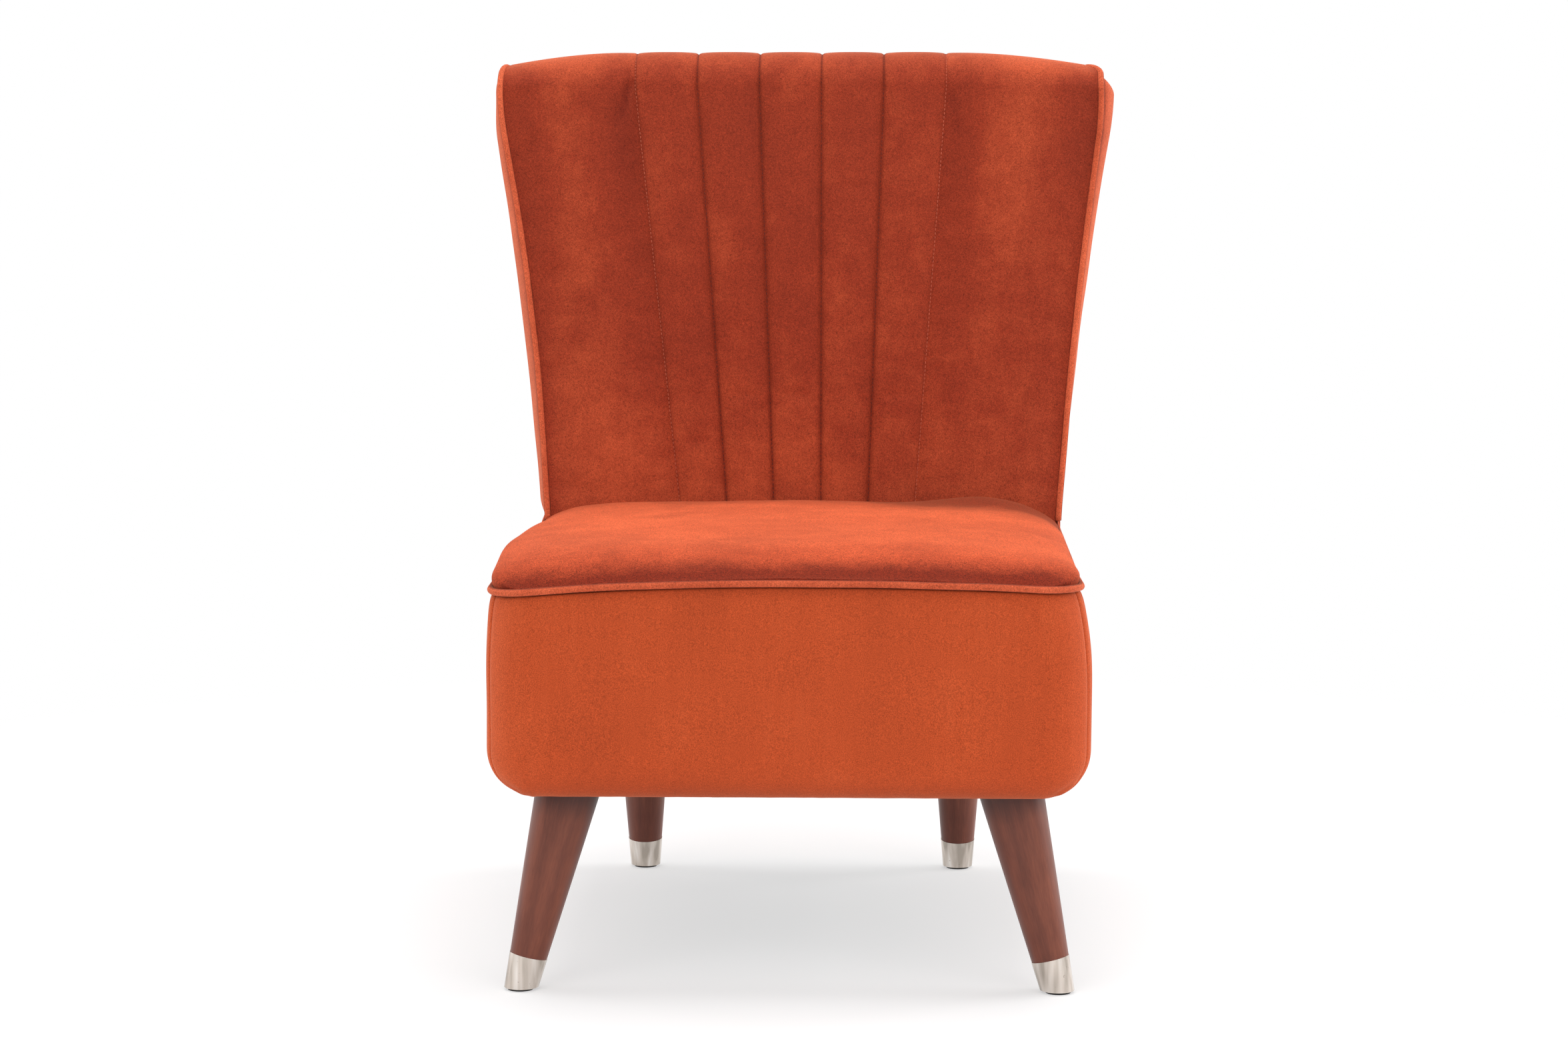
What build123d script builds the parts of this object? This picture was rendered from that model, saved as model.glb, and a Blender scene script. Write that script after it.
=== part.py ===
import os
from math import asin, copysign, cos, degrees, radians, sin, sqrt, tan

from build123d import *

# Armless accent chair: tight crowned seat, flared channel back, turned splayed legs.
# Millimetres, +Z up, +X to the right of someone facing the chair, -Y towards them.
# The origin is on the floor, under the middle of the chair's box.

# Overall sizes
overall_height = 884.0
seat_width = 566.0            # over the seat band at its fullest
seat_depth = 485.0            # band front to inside back, at the height of the seat's crown
leg_height = 190.0            # floor to the underside of the seat band
band_height = 199.0           # underside of the band to its sewn top edge
crown_rise = 26.0             # seat crown above its sewn edge

# Back in side view
inside_recline = 13.0         # degrees from upright
outside_recline = 3.0
roll_radius = 46.0            # rolled top, over the crowns of the channels

# Back in front view, to the centres of its two pipings
back_top_width = 636.0
back_seat_inset = 14.0        # from the band's side, at the height of the seat's crown
shoulder_drop = 45.0          # the edge straightens over this height below the roll
shoulder_inset = 3.5
flare_stations = 7            # sections of the back between seat and shoulder

# Sewn channels of the inside back
channel_count = 5
channel_pitch_top = 67.5
channel_pitch_seat = 51.2
channel_puff = 6.0            # crown of a channel over its seams
panel_thickness = 10.0        # quilted panel at a crown
back_foam_thickness = 27.0

# Side boxing of the back
boxing_proud = 1.0            # boxing edge outside the centre of the piping
boxing_puff_top = 13.0
boxing_puff_seat = 3.0
boxing_trim = 16.0            # spare length under the seat deck, cut off level

# Covers, piping and seat band
cover = 2.0                   # velvet with its fleece backing
sewn_gap = 0.4                # clearance beside a sewn edge
rest_gap = 0.2                # clearance between soft and hard pieces
piping_diameter = 8.0
band_corner_radius = 50.0     # upright front corners
band_under_radius = 46.0      # front and side edges underneath
band_full_height = 100.0      # fullest line of the band over its underside
band_draw_in = 4.0            # top edge inside the fullest line
band_pad = 19.0
under_pad = 4.0               # wadding turned under the frame
turn_under = 18.0             # flat turn-under of the band, past its round edge
band_seam_setback = 30.0      # upright seams behind the band's front
seat_shoulder = 58.0          # rounded shoulder of the crown at the sides

# Outside back
board_thickness = 3.0
dust_cover_thickness = 1.0
dust_cover_margin = 8.0       # from the flat underside's edge

# Frame
rail_thickness = 22.0
rail_height = 95.0
rail_ease = 16.0              # rounded outer lower edges of the frame
frame_corner_radius = 18.0    # rounded upright front corners of the frame
block_height = 40.0
front_block_width = 118.0     # triangular corner blocks, across the chair and along it
front_block_depth = 118.0
rear_block_width = 150.0
rear_block_depth = 118.0
post_thickness = 24.0
post_inset = 12.0             # posts inside the piping, at the roll's centre
back_rail_height = 60.0
back_rail_thickness = 25.0
lower_rail_lift = 8.0         # lower back rail over the seat deck
webbing_width = 50.0
webbing_thickness = 2.0
lengthwise_straps = 4
crosswise_straps = 3
back_straps = 3
strap_end = 4.0               # bare rail beyond a strap's end

# Fasteners
dowel_diameter = 8.0
dowel_length = 34.0
dowel_pitch = 40.0
bolt_diameter = 8.0
bolt_head_diameter = 18.0
bolt_head_height = 5.0
bolt_clearance = 0.4
back_bolt_pitch = 56.0
tee_barrel_diameter = 11.0
tee_barrel_length = 12.0
tee_flange_diameter = 20.0
tee_flange_thickness = 1.5
fit_clearance = 0.2

# Legs
leg_top_diameter = 61.0       # at the underside of the band
foot_diameter = 30.5          # at the floor
front_leg_inset = 31.0        # leg's axis inside the side rail, at the underside of the band
front_leg_setback = 33.0      # leg's axis behind the front rail
front_foot_splay = 45.0       # foot outside its leg's top
front_foot_rake = 16.0        # foot before its leg's top
rear_leg_inset = 70.0
rear_leg_setback = 17.0       # leg's axis before the rear rail
rear_foot_splay = 0.5
rear_foot_rake = 24.0         # foot behind its leg's top
leg_hole_clearance = 2.5
stud_depth = 32.0             # hanger bolt inside the leg
ferrule_height = 33.0         # along the leg
ferrule_wall = 1.0
ferrule_proud = 0.5
glide_height = 2.5
glide_diameter = 24.0
glide_pin_diameter = 4.0
glide_pin_length = 16.0

# Heights
piping_radius = piping_diameter / 2
band_bottom = leg_height
band_top = band_bottom + band_height
band_full = band_bottom + band_full_height
piping_height = band_top + piping_radius + sewn_gap
crown_height = piping_height + crown_rise
deck_height = band_top + sewn_gap                       # the back stands on this level
frame_bottom = band_bottom + cover + under_pad
rail_top = frame_bottom + rail_height
foam_bottom = rail_top + 2 * webbing_thickness
block_top = frame_bottom + block_height
roll_height = overall_height - roll_radius

# Side view of the back: a wedge under a round top
inside_angle = radians(inside_recline)
outside_angle = radians(outside_recline)
spine_angle = (inside_angle + outside_angle) / 2
wedge_angle = (inside_angle - outside_angle) / 2
core_half = roll_radius - panel_thickness               # roll inside its quilted panel
post_front = core_half - back_foam_thickness - webbing_thickness
seat_line_drop = (roll_height + roll_radius * sin(inside_angle) - crown_height) / cos(inside_angle)
roll_setback = seat_depth + seat_line_drop * sin(inside_angle) + roll_radius * cos(inside_angle)
overall_depth = roll_setback + roll_radius
front = -overall_depth / 2
roll_back = front + roll_setback
reach = overall_height + overall_depth                  # longer than any cut needs


def front_point(depth, drop):
    """Side view (Y, Z) of a point before the roll's centre, a drop down along the inside back."""
    back = roll_back - depth * cos(inside_angle) - drop * sin(inside_angle)
    return back, roll_height + depth * sin(inside_angle) - drop * cos(inside_angle)


def rear_point(depth, drop):
    """Side view (Y, Z) of a point behind the roll's centre, a drop down along the outside back."""
    back = roll_back + depth * cos(outside_angle) - drop * sin(outside_angle)
    return back, roll_height - depth * sin(outside_angle) - drop * cos(outside_angle)


def front_drop(depth, height):
    return (roll_height + depth * sin(inside_angle) - height) / cos(inside_angle)


def rear_drop(depth, height):
    return (roll_height - depth * sin(outside_angle) - height) / cos(outside_angle)


def leaning_plane(angle):
    """Plane across the back through the roll's centre; local Y points to the rear."""
    return Plane((0, roll_back, roll_height), x_dir=(1, 0, 0), z_dir=(0, sin(angle), cos(angle)))


def front_face_plane(depth):
    """Plane along the inside back; local Y points up it from the roll's centre."""
    back, height = front_point(depth, 0)
    return Plane((0, back, height), x_dir=(1, 0, 0), z_dir=(0, -cos(inside_angle), sin(inside_angle)))


def rear_face_plane(depth):
    """Plane along the outside back; local Y points down it from the roll's centre."""
    back, height = rear_point(depth, 0)
    return Plane((0, back, height), x_dir=(1, 0, 0), z_dir=(0, cos(outside_angle), -sin(outside_angle)))


inside_sections = leaning_plane(inside_angle)
spine_sections = leaning_plane(spine_angle)
roll_axis = Axis((0, roll_back, roll_height), (-1, 0, 0))
rear_cut = rear_face_plane(core_half)
seat_cut = front_face_plane(roll_radius + sewn_gap)

# Flared edge of the back: a long arc up from the seat, then a short one that ends upright
shoulder_radius = (shoulder_drop**2 + shoulder_inset**2) / (2 * shoulder_inset)
flare_angle = asin(shoulder_drop / shoulder_radius)
shoulder_half = back_top_width / 2 - shoulder_inset
flare_run = seat_line_drop - shoulder_drop
flare_narrowing = shoulder_half - (seat_width / 2 - back_seat_inset)
flare_bow = flare_run * sin(flare_angle) - flare_narrowing * cos(flare_angle)
flare_radius = (flare_run**2 + flare_narrowing**2) / (2 * flare_bow)
flare_center_x = shoulder_half + flare_radius * cos(flare_angle)
flare_center_drop = shoulder_drop + flare_radius * sin(flare_angle)


def half_width(drop):
    """Half width of the back at its piping, a drop below the roll's centre."""
    if drop < shoulder_drop:
        return back_top_width / 2 - shoulder_radius + sqrt(shoulder_radius**2 - drop**2)
    chord = sqrt(flare_radius**2 - (drop - flare_center_drop) ** 2)
    return flare_center_x - copysign(chord, flare_radius)


def flare_steps(end):
    """Even drops from the lower end of the back up to its shoulder."""
    step = (end - shoulder_drop) / flare_stations
    return [end - step * station for station in range(flare_stations + 1)]


def channel_seams(drop):
    """Places of the seams across the inside back."""
    share = drop / seat_line_drop
    pitch = channel_pitch_top + (channel_pitch_seat - channel_pitch_top) * share
    return [(seam - channel_count / 2) * pitch for seam in range(channel_count + 1)]


def boxing_half(drop):
    """Half depth of the side boxing, a drop down the spine."""
    return core_half / cos(wedge_angle) + drop * tan(wedge_angle) - sewn_gap


def boxing_puff(drop):
    share = drop / seat_line_drop
    return boxing_puff_top + (boxing_puff_seat - boxing_puff_top) * share


# Frame in plan
frame_half = seat_width / 2 - cover - band_pad
frame_front = front + cover + band_pad
side_rail_inner = frame_half - rail_thickness
kink_height = rail_top + webbing_thickness + rest_gap   # posts flare out over the side rails
post_slope = (back_top_width / 2 - post_inset - side_rail_inner) / (roll_height - kink_height)


def post_outer(height):
    return side_rail_inner + max(height - kink_height, 0) * post_slope


rear_rail_inside = core_half - rail_thickness
webbing_rail_rear = front_point(post_front, front_drop(post_front, block_top))[0] - rest_gap
rear_rail_front = rear_point(rear_rail_inside, rear_drop(rear_rail_inside, frame_bottom))[0]
front_rail_middle = frame_front + rail_thickness / 2
webbing_rail_middle = webbing_rail_rear - rail_thickness / 2
dowel_height = frame_bottom + rail_height / 2
rear_rail_middle = rear_point(core_half - rail_thickness / 2, rear_drop(core_half, dowel_height))[0]


def frame_envelope():
    """Outer form of the seat frame and of the foam well over it."""
    with BuildPart() as envelope:
        with BuildSketch(Plane.XY.offset(frame_bottom)):
            with Locations((0, frame_front)):
                Rectangle(2 * frame_half, reach, align=(Align.CENTER, Align.MIN))
        extrude(amount=band_top - frame_bottom)
        fillet(envelope.edges().filter_by(Axis.Z).sort_by(Axis.Y)[:2], frame_corner_radius)
        lower_edges = envelope.edges().group_by(Axis.Z)[0].sort_by(Axis.Y)[:-1]
        fillet(lower_edges, rail_ease)
        split(bisect_by=rear_cut, keep=Keep.BOTTOM)
    return envelope.part


frame_form = frame_envelope()
pieces = {}

# Dowels of the seat frame and of the back frame, each across its joint
top_rail_middle = front_point(post_front - back_rail_thickness / 2, back_rail_height / 2)
lower_rail_bottom = deck_height + lower_rail_lift
lower_rail_drop = front_drop(post_front, lower_rail_bottom)
lower_rail_middle = front_point(post_front - back_rail_thickness / 2, lower_rail_drop - back_rail_height / 2)
seat_dowels = [
    (side * side_rail_inner, middle, dowel_height + rise * dowel_pitch / 2)
    for side in (-1, 1)
    for middle in (front_rail_middle, webbing_rail_middle, rear_rail_middle)
    for rise in (-1, 1)
]
back_dowels = [
    (side * (post_outer(middle[1]) - post_thickness), middle[0], middle[1])
    for side in (-1, 1)
    for middle in (top_rail_middle, lower_rail_middle)
]
all_dowels = seat_dowels + back_dowels

with BuildPart() as frame_dowels:
    with Locations(*all_dowels):
        Cylinder(dowel_diameter / 2, dowel_length, rotation=(0, 90, 0))
pieces["frame_dowels"] = frame_dowels.part

with BuildPart() as dowel_drill:
    with Locations(*all_dowels):
        Cylinder(dowel_diameter / 2 + fit_clearance / 2, dowel_length + fit_clearance, rotation=(0, 90, 0))

# Bolts that hold the back posts to the side rails
bolt_height = (block_top + kink_height) / 2
post_foot_front = front_point(post_front, front_drop(post_front, bolt_height))[0]
post_foot_rear = rear_point(core_half, rear_drop(core_half, bolt_height))[0]
post_foot_middle = (post_foot_front + post_foot_rear) / 2
bolt_spots = [(post_foot_middle + end * back_bolt_pitch / 2, bolt_height) for end in (-1, 1)]
post_foot_inner = side_rail_inner - post_thickness
bolt_face = Plane.YZ.offset(post_foot_inner)
tee_face = Plane.YZ.offset(frame_half - tee_flange_thickness)
bolt_reach = frame_half - tee_flange_thickness - post_foot_inner

with BuildPart() as right_bolts:
    with BuildSketch(bolt_face):
        with Locations(*bolt_spots):
            RegularPolygon(bolt_head_diameter / 2, 6)
    extrude(amount=-bolt_head_height)
    with BuildSketch(bolt_face):
        with Locations(*bolt_spots):
            Circle(bolt_diameter / 2)
    extrude(amount=bolt_reach)

with BuildPart() as back_bolts:
    add(right_bolts.part)
    mirror(right_bolts.part, about=Plane.YZ)
pieces["back_bolts"] = back_bolts.part

with BuildPart() as right_tee_nuts:
    with BuildSketch(tee_face):
        with Locations(*bolt_spots):
            Circle(tee_flange_diameter / 2)
    extrude(amount=tee_flange_thickness)
    with BuildSketch(tee_face):
        with Locations(*bolt_spots):
            Circle(tee_barrel_diameter / 2)
            Circle(bolt_diameter / 2 + fit_clearance, mode=Mode.SUBTRACT)
    extrude(amount=-tee_barrel_length)

with BuildPart() as back_tee_nuts:
    add(right_tee_nuts.part)
    mirror(right_tee_nuts.part, about=Plane.YZ)
pieces["back_tee_nuts"] = back_tee_nuts.part

with BuildPart() as bolt_drill:
    with BuildSketch(bolt_face):
        with Locations(*bolt_spots):
            Circle((bolt_diameter + bolt_clearance) / 2)
    extrude(amount=frame_half - post_foot_inner)
    with BuildSketch(tee_face):
        with Locations(*bolt_spots):
            Circle((tee_flange_diameter + fit_clearance) / 2)
    extrude(amount=tee_flange_thickness)
    with BuildSketch(tee_face):
        with Locations(*bolt_spots):
            Circle((tee_barrel_diameter + fit_clearance) / 2)
    extrude(amount=-tee_barrel_length - fit_clearance)

# Seat frame: two side rails with the cross rails dowelled between them
with BuildPart() as right_side_rail:
    with BuildSketch(Plane.XY.offset(frame_bottom)):
        with Locations((side_rail_inner, frame_front)):
            Rectangle(rail_thickness, reach, align=(Align.MIN, Align.MIN))
    extrude(amount=rail_height + webbing_thickness)
    add(frame_form, mode=Mode.INTERSECT)
    add(dowel_drill.part, mode=Mode.SUBTRACT)
    add(bolt_drill.part, mode=Mode.SUBTRACT)
pieces["right_side_rail"] = right_side_rail.part

with BuildPart() as left_side_rail:
    mirror(right_side_rail.part, about=Plane.YZ)
pieces["left_side_rail"] = left_side_rail.part

for rail_name, rail_front in (
    ("front_rail", frame_front),
    ("webbing_rail", webbing_rail_rear - rail_thickness),
):
    with BuildPart() as cross_rail:
        with BuildSketch(Plane.XY.offset(frame_bottom)):
            with Locations((0, rail_front)):
                Rectangle(2 * side_rail_inner, rail_thickness, align=(Align.CENTER, Align.MIN))
        extrude(amount=rail_height)
        add(frame_form, mode=Mode.INTERSECT)
        add(dowel_drill.part, mode=Mode.SUBTRACT)
    pieces[rail_name] = cross_rail.part

with BuildPart() as rear_rail:
    with BuildSketch(Plane.YZ):
        with BuildLine():
            Polyline(
                rear_point(rear_rail_inside, rear_drop(rear_rail_inside, frame_bottom)),
                rear_point(core_half, rear_drop(core_half, frame_bottom)),
                rear_point(core_half, rear_drop(core_half, rail_top)),
                rear_point(rear_rail_inside, rear_drop(rear_rail_inside, rail_top)),
                close=True,
            )
        make_face()
    extrude(amount=side_rail_inner, both=True)
    add(dowel_drill.part, mode=Mode.SUBTRACT)
pieces["rear_rail"] = rear_rail.part

# Legs: places of each foot and of its leg at the underside of the band
front_leg_x = side_rail_inner - front_leg_inset
front_leg_y = frame_front + rail_thickness + front_leg_setback
rear_leg_x = side_rail_inner - rear_leg_inset
rear_leg_y = rear_rail_front - rear_leg_setback
corners = {
    f"{end}_{side}": (
        Vector(sign * (leg_x + splay), leg_y + rake, 0),
        Vector(sign * leg_x, leg_y, leg_height),
    )
    for end, leg_x, leg_y, splay, rake in (
        ("front", front_leg_x, front_leg_y, front_foot_splay, -front_foot_rake),
        ("rear", rear_leg_x, rear_leg_y, rear_foot_splay, rear_foot_rake),
    )
    for side, sign in (("left", -1), ("right", 1))
}
leg_seats = {
    corner: foot + (top - foot) * (frame_bottom / leg_height) for corner, (foot, top) in corners.items()
}
seat_spots = [(seat.X, seat.Y) for seat in leg_seats.values()]
hole_spots = [((seat.X + top.X) / 2, (seat.Y + top.Y) / 2)
              for seat, (foot, top) in zip(leg_seats.values(), corners.values())]

with BuildPart() as leg_bolts:
    with BuildSketch(Plane.XY.offset(frame_bottom - stud_depth)):
        with Locations(*seat_spots):
            Circle(bolt_diameter / 2)
    extrude(amount=stud_depth + block_height)
pieces["leg_bolts"] = leg_bolts.part

with BuildPart() as leg_tee_nuts:
    with BuildSketch(Plane.XY.offset(block_top)):
        with Locations(*seat_spots):
            Circle(tee_flange_diameter / 2)
    extrude(amount=tee_flange_thickness)
    with BuildSketch(Plane.XY.offset(block_top)):
        with Locations(*seat_spots):
            Circle(tee_barrel_diameter / 2)
            Circle(bolt_diameter / 2 + fit_clearance, mode=Mode.SUBTRACT)
    extrude(amount=-tee_barrel_length)
pieces["leg_tee_nuts"] = leg_tee_nuts.part

for corner, seat in leg_seats.items():
    sign = copysign(1, seat.X)
    at_front = corner.startswith("front")
    corner_back = frame_front + rail_thickness if at_front else rear_rail_front
    block_width = front_block_width if at_front else rear_block_width
    along = front_block_depth if at_front else -rear_block_depth
    with BuildPart() as corner_block:
        with BuildSketch(Plane.XY.offset(frame_bottom)):
            with BuildLine():
                Polyline(
                    (sign * side_rail_inner, corner_back),
                    (sign * side_rail_inner, corner_back + along),
                    (sign * (side_rail_inner - block_width), corner_back),
                    close=True,
                )
            make_face()
        extrude(amount=block_height)
        with Locations((seat.X, seat.Y, block_top)):
            CounterBoreHole(
                (bolt_diameter + bolt_clearance) / 2,
                (tee_barrel_diameter + fit_clearance) / 2,
                tee_barrel_length + fit_clearance,
            )
    pieces[f"{corner}_corner_block"] = corner_block.part

# Turned legs, each a cone about its own axis, cut level at both ends
run_out = leg_top_diameter / 2                          # spare length for the level cuts
for corner, (foot, top) in corners.items():
    axis = top - foot
    taper = (leg_top_diameter - foot_diameter) / 2 / axis.length
    turning = Plane(foot, z_dir=axis)
    low_radius = foot_diameter / 2 - taper * run_out
    step_radius = foot_diameter / 2 + taper * ferrule_height
    high_radius = leg_top_diameter / 2 + taper * run_out
    tenon = ferrule_wall - ferrule_proud + fit_clearance / 2
    seat = leg_seats[corner]
    from_below = (Align.CENTER, Align.CENTER, Align.MIN)
    from_above = (Align.CENTER, Align.CENTER, Align.MAX)

    with BuildPart(turning) as leg:
        with Locations((0, 0, -run_out)):
            Cone(low_radius - tenon, step_radius - tenon, run_out + ferrule_height, align=from_below)
        with Locations((0, 0, ferrule_height)):
            Cone(step_radius, high_radius, axis.length + run_out - ferrule_height, align=from_below)
        split(bisect_by=Plane.XY.offset(glide_height), keep=Keep.TOP)
        split(bisect_by=Plane.XY.offset(frame_bottom), keep=Keep.BOTTOM)
    with BuildPart() as drilled_leg:
        add(leg.part)
        with Locations((seat.X, seat.Y, frame_bottom)):
            Cylinder(
                (bolt_diameter + bolt_clearance) / 2,
                stud_depth + fit_clearance,
                align=from_above,
                mode=Mode.SUBTRACT,
            )
        with Locations((foot.X, foot.Y, glide_height)):
            Cylinder(
                (glide_pin_diameter + fit_clearance) / 2,
                glide_pin_length + fit_clearance,
                align=from_below,
                mode=Mode.SUBTRACT,
            )
    pieces[f"{corner}_leg"] = drilled_leg.part

    with BuildPart(turning) as ferrule:
        with Locations((0, 0, -run_out)):
            Cone(low_radius + ferrule_proud, step_radius + ferrule_proud, run_out + ferrule_height,
                 align=from_below)
            Cone(low_radius + ferrule_proud - ferrule_wall, step_radius + ferrule_proud - ferrule_wall,
                 run_out + ferrule_height, align=from_below, mode=Mode.SUBTRACT)
        split(bisect_by=Plane.XY.offset(glide_height), keep=Keep.TOP)
    pieces[f"{corner}_ferrule"] = ferrule.part

    with BuildPart() as glide:
        with Locations((foot.X, foot.Y, 0)):
            Cylinder(glide_diameter / 2, glide_height, align=from_below)
        with Locations((foot.X, foot.Y, glide_height)):
            Cylinder(glide_pin_diameter / 2, glide_pin_length, align=from_below)
    pieces[f"{corner}_glide"] = glide.part

# Webbing: lengthwise straps on the cross rails, crosswise straps over them on the side rails
lengthwise_run = webbing_rail_rear - frame_front - 2 * strap_end
strap_room = 2 * side_rail_inner / lengthwise_straps
with BuildPart() as seat_webbing_lengthwise:
    with BuildSketch(Plane.XY.offset(rail_top)):
        with Locations((0, (webbing_rail_rear + frame_front) / 2)):
            with GridLocations(strap_room, 1, lengthwise_straps, 1):
                Rectangle(min(webbing_width, strap_room - strap_end), lengthwise_run)
    extrude(amount=webbing_thickness)
pieces["seat_webbing_lengthwise"] = seat_webbing_lengthwise.part

well_depth = webbing_rail_rear - rail_thickness - frame_front
cross_room = well_depth / (crosswise_straps + 1)
with BuildPart() as seat_webbing_crosswise:
    with BuildSketch(Plane.XY.offset(rail_top + webbing_thickness)):
        with Locations((0, frame_front + rail_thickness / 2 + well_depth / 2)):
            with GridLocations(1, cross_room, 1, crosswise_straps):
                Rectangle(2 * (frame_half - strap_end), min(webbing_width, cross_room - strap_end))
    extrude(amount=webbing_thickness)
pieces["seat_webbing_crosswise"] = seat_webbing_crosswise.part

# Back posts: flared in front view, tapered in side view
post_top = roll_height + reach / 10
with BuildPart() as right_back_post:
    with BuildSketch(Plane.XZ):
        with BuildLine():
            Polyline(
                (post_foot_inner, block_top),
                (side_rail_inner, block_top),
                (side_rail_inner, kink_height),
                (post_outer(post_top), post_top),
                (post_outer(post_top) - post_thickness, post_top),
                (post_foot_inner, kink_height),
                close=True,
            )
        make_face()
    extrude(amount=reach, both=True)
    with BuildSketch(Plane.YZ):
        with BuildLine():
            Polyline(
                front_point(post_front, front_drop(post_front, block_top)),
                front_point(post_front, 0),
                (roll_back, roll_height),
                rear_point(core_half, 0),
                rear_point(core_half, rear_drop(core_half, rail_top)),
                rear_point(rear_rail_inside, rear_drop(rear_rail_inside, rail_top)),
                rear_point(rear_rail_inside, rear_drop(rear_rail_inside, block_top)),
                close=True,
            )
        make_face()
    extrude(amount=reach, both=True, mode=Mode.INTERSECT)
    add(dowel_drill.part, mode=Mode.SUBTRACT)
    add(bolt_drill.part, mode=Mode.SUBTRACT)
pieces["right_back_post"] = right_back_post.part

with BuildPart() as left_back_post:
    mirror(right_back_post.part, about=Plane.YZ)
pieces["left_back_post"] = left_back_post.part

# Rails between the back posts
rail_back = post_front - back_rail_thickness
for rail_name, rail_profile in (
    (
        "back_top_rail",
        (
            front_point(post_front, 0),
            front_point(post_front, back_rail_height),
            front_point(rail_back, back_rail_height),
            front_point(rail_back, -rail_back * tan(wedge_angle)),
            (roll_back, roll_height),
        ),
    ),
    (
        "back_lower_rail",
        (
            front_point(post_front, lower_rail_drop),
            front_point(post_front, lower_rail_drop - back_rail_height),
            front_point(rail_back, lower_rail_drop - back_rail_height),
            front_point(rail_back, lower_rail_drop),
        ),
    ),
):
    with BuildPart() as back_rail:
        with BuildSketch(Plane.XZ):
            with BuildLine():
                Polyline(
                    (post_foot_inner, kink_height),
                    (post_outer(post_top) - post_thickness, post_top),
                    (post_thickness - post_outer(post_top), post_top),
                    (-post_foot_inner, kink_height),
                    close=True,
                )
            make_face()
        extrude(amount=reach, both=True)
        with BuildSketch(Plane.YZ):
            with BuildLine():
                Polyline(*rail_profile, close=True)
            make_face()
        extrude(amount=reach, both=True, mode=Mode.INTERSECT)
        add(dowel_drill.part, mode=Mode.SUBTRACT)
    pieces[rail_name] = back_rail.part

# Back webbing, stapled across the fronts of the posts
strap_run = lower_rail_drop - 2 * back_rail_height
with BuildPart() as back_webbing:
    for strap in range(back_straps):
        strap_drop = back_rail_height + (strap + 0.5) * strap_run / back_straps
        strap_height = front_point(post_front, strap_drop + webbing_width / 2)[1]
        with BuildSketch(front_face_plane(post_front)):
            with Locations((0, -strap_drop)):
                Rectangle(2 * (post_outer(strap_height) - strap_end), webbing_width)
        extrude(amount=webbing_thickness)
pieces["back_webbing"] = back_webbing.part

# Back foam: a slab before the frame, and a half round over the top rail
foam_rear = core_half - back_foam_thickness
with BuildPart() as back_foam:
    with BuildSketch(Plane.XZ):
        with BuildLine():
            Polyline(
                (post_outer(deck_height) - rest_gap, deck_height),
                (post_outer(post_top) - rest_gap, post_top),
                (rest_gap - post_outer(post_top), post_top),
                (rest_gap - post_outer(deck_height), deck_height),
                close=True,
            )
        make_face()
    extrude(amount=reach, both=True)
    with BuildSketch(Plane.YZ):
        with BuildLine():
            Polyline(
                front_point(foam_rear, 0),
                front_point(core_half, 0),
                front_point(core_half, front_drop(core_half, deck_height)),
                front_point(foam_rear, front_drop(foam_rear, deck_height)),
                close=True,
            )
        make_face()
    extrude(amount=reach, both=True, mode=Mode.INTERSECT)
pieces["back_foam"] = back_foam.part

roll_half = post_outer(roll_height + core_half)
roll_crest = (roll_back + core_half * sin(spine_angle), roll_height + core_half * cos(spine_angle))
with BuildPart() as back_roll_foam:
    with BuildSketch(Plane.YZ):
        with BuildLine():
            ThreePointArc(front_point(core_half, 0), roll_crest, rear_point(core_half, 0))
            Polyline(rear_point(core_half, 0), (roll_back, roll_height), front_point(core_half, 0))
        make_face()
    extrude(amount=roll_half - rest_gap, both=True)
pieces["back_roll_foam"] = back_roll_foam.part

# Inside back: a quilted panel whose channels run up from the seat and over the roll
panel_end = front_drop(roll_radius, deck_height) + panel_thickness
panel_drops = [*flare_steps(panel_end), shoulder_drop / 2, 0]
with BuildPart() as inside_back_panel:
    for drop in panel_drops:
        edge = half_width(drop) - piping_radius - sewn_gap
        seams = [-edge, *channel_seams(drop), edge]
        low, crown, rear = channel_puff - roll_radius, -roll_radius, -core_half
        with BuildSketch(inside_sections.offset(-drop)):
            with BuildLine():
                for left, right in zip(seams, seams[1:]):
                    ThreePointArc((left, low), ((left + right) / 2, crown), (right, low))
                Polyline((edge, low), (edge, rear), (-edge, rear), (-edge, low))
            make_face()
    loft(ruled=True)
    with BuildSketch(inside_sections):
        with BuildLine():
            for left, right in zip(seams, seams[1:]):
                ThreePointArc((left, low), ((left + right) / 2, crown), (right, low))
            Polyline((edge, low), (edge, rear), (-edge, rear), (-edge, low))
        make_face()
    revolve(axis=roll_axis, revolution_arc=180 - degrees(2 * wedge_angle))
    split(bisect_by=Plane.XY.offset(deck_height), keep=Keep.TOP)
pieces["inside_back_panel"] = inside_back_panel.part

# Side boxing: a puffed cover and its pad, domed at the top
boxing_end = (roll_height - deck_height) / cos(spine_angle) + boxing_trim
boxing_drops = [*flare_steps(boxing_end), shoulder_drop / 2, 0]


def boxing_crown(edge, puff, half, depth):
    """Place across the chair of the boxing's round face, a depth from its middle."""
    radius = (half**2 + puff**2) / (2 * puff)
    return edge + puff - radius + sqrt(radius**2 - depth**2)


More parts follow.
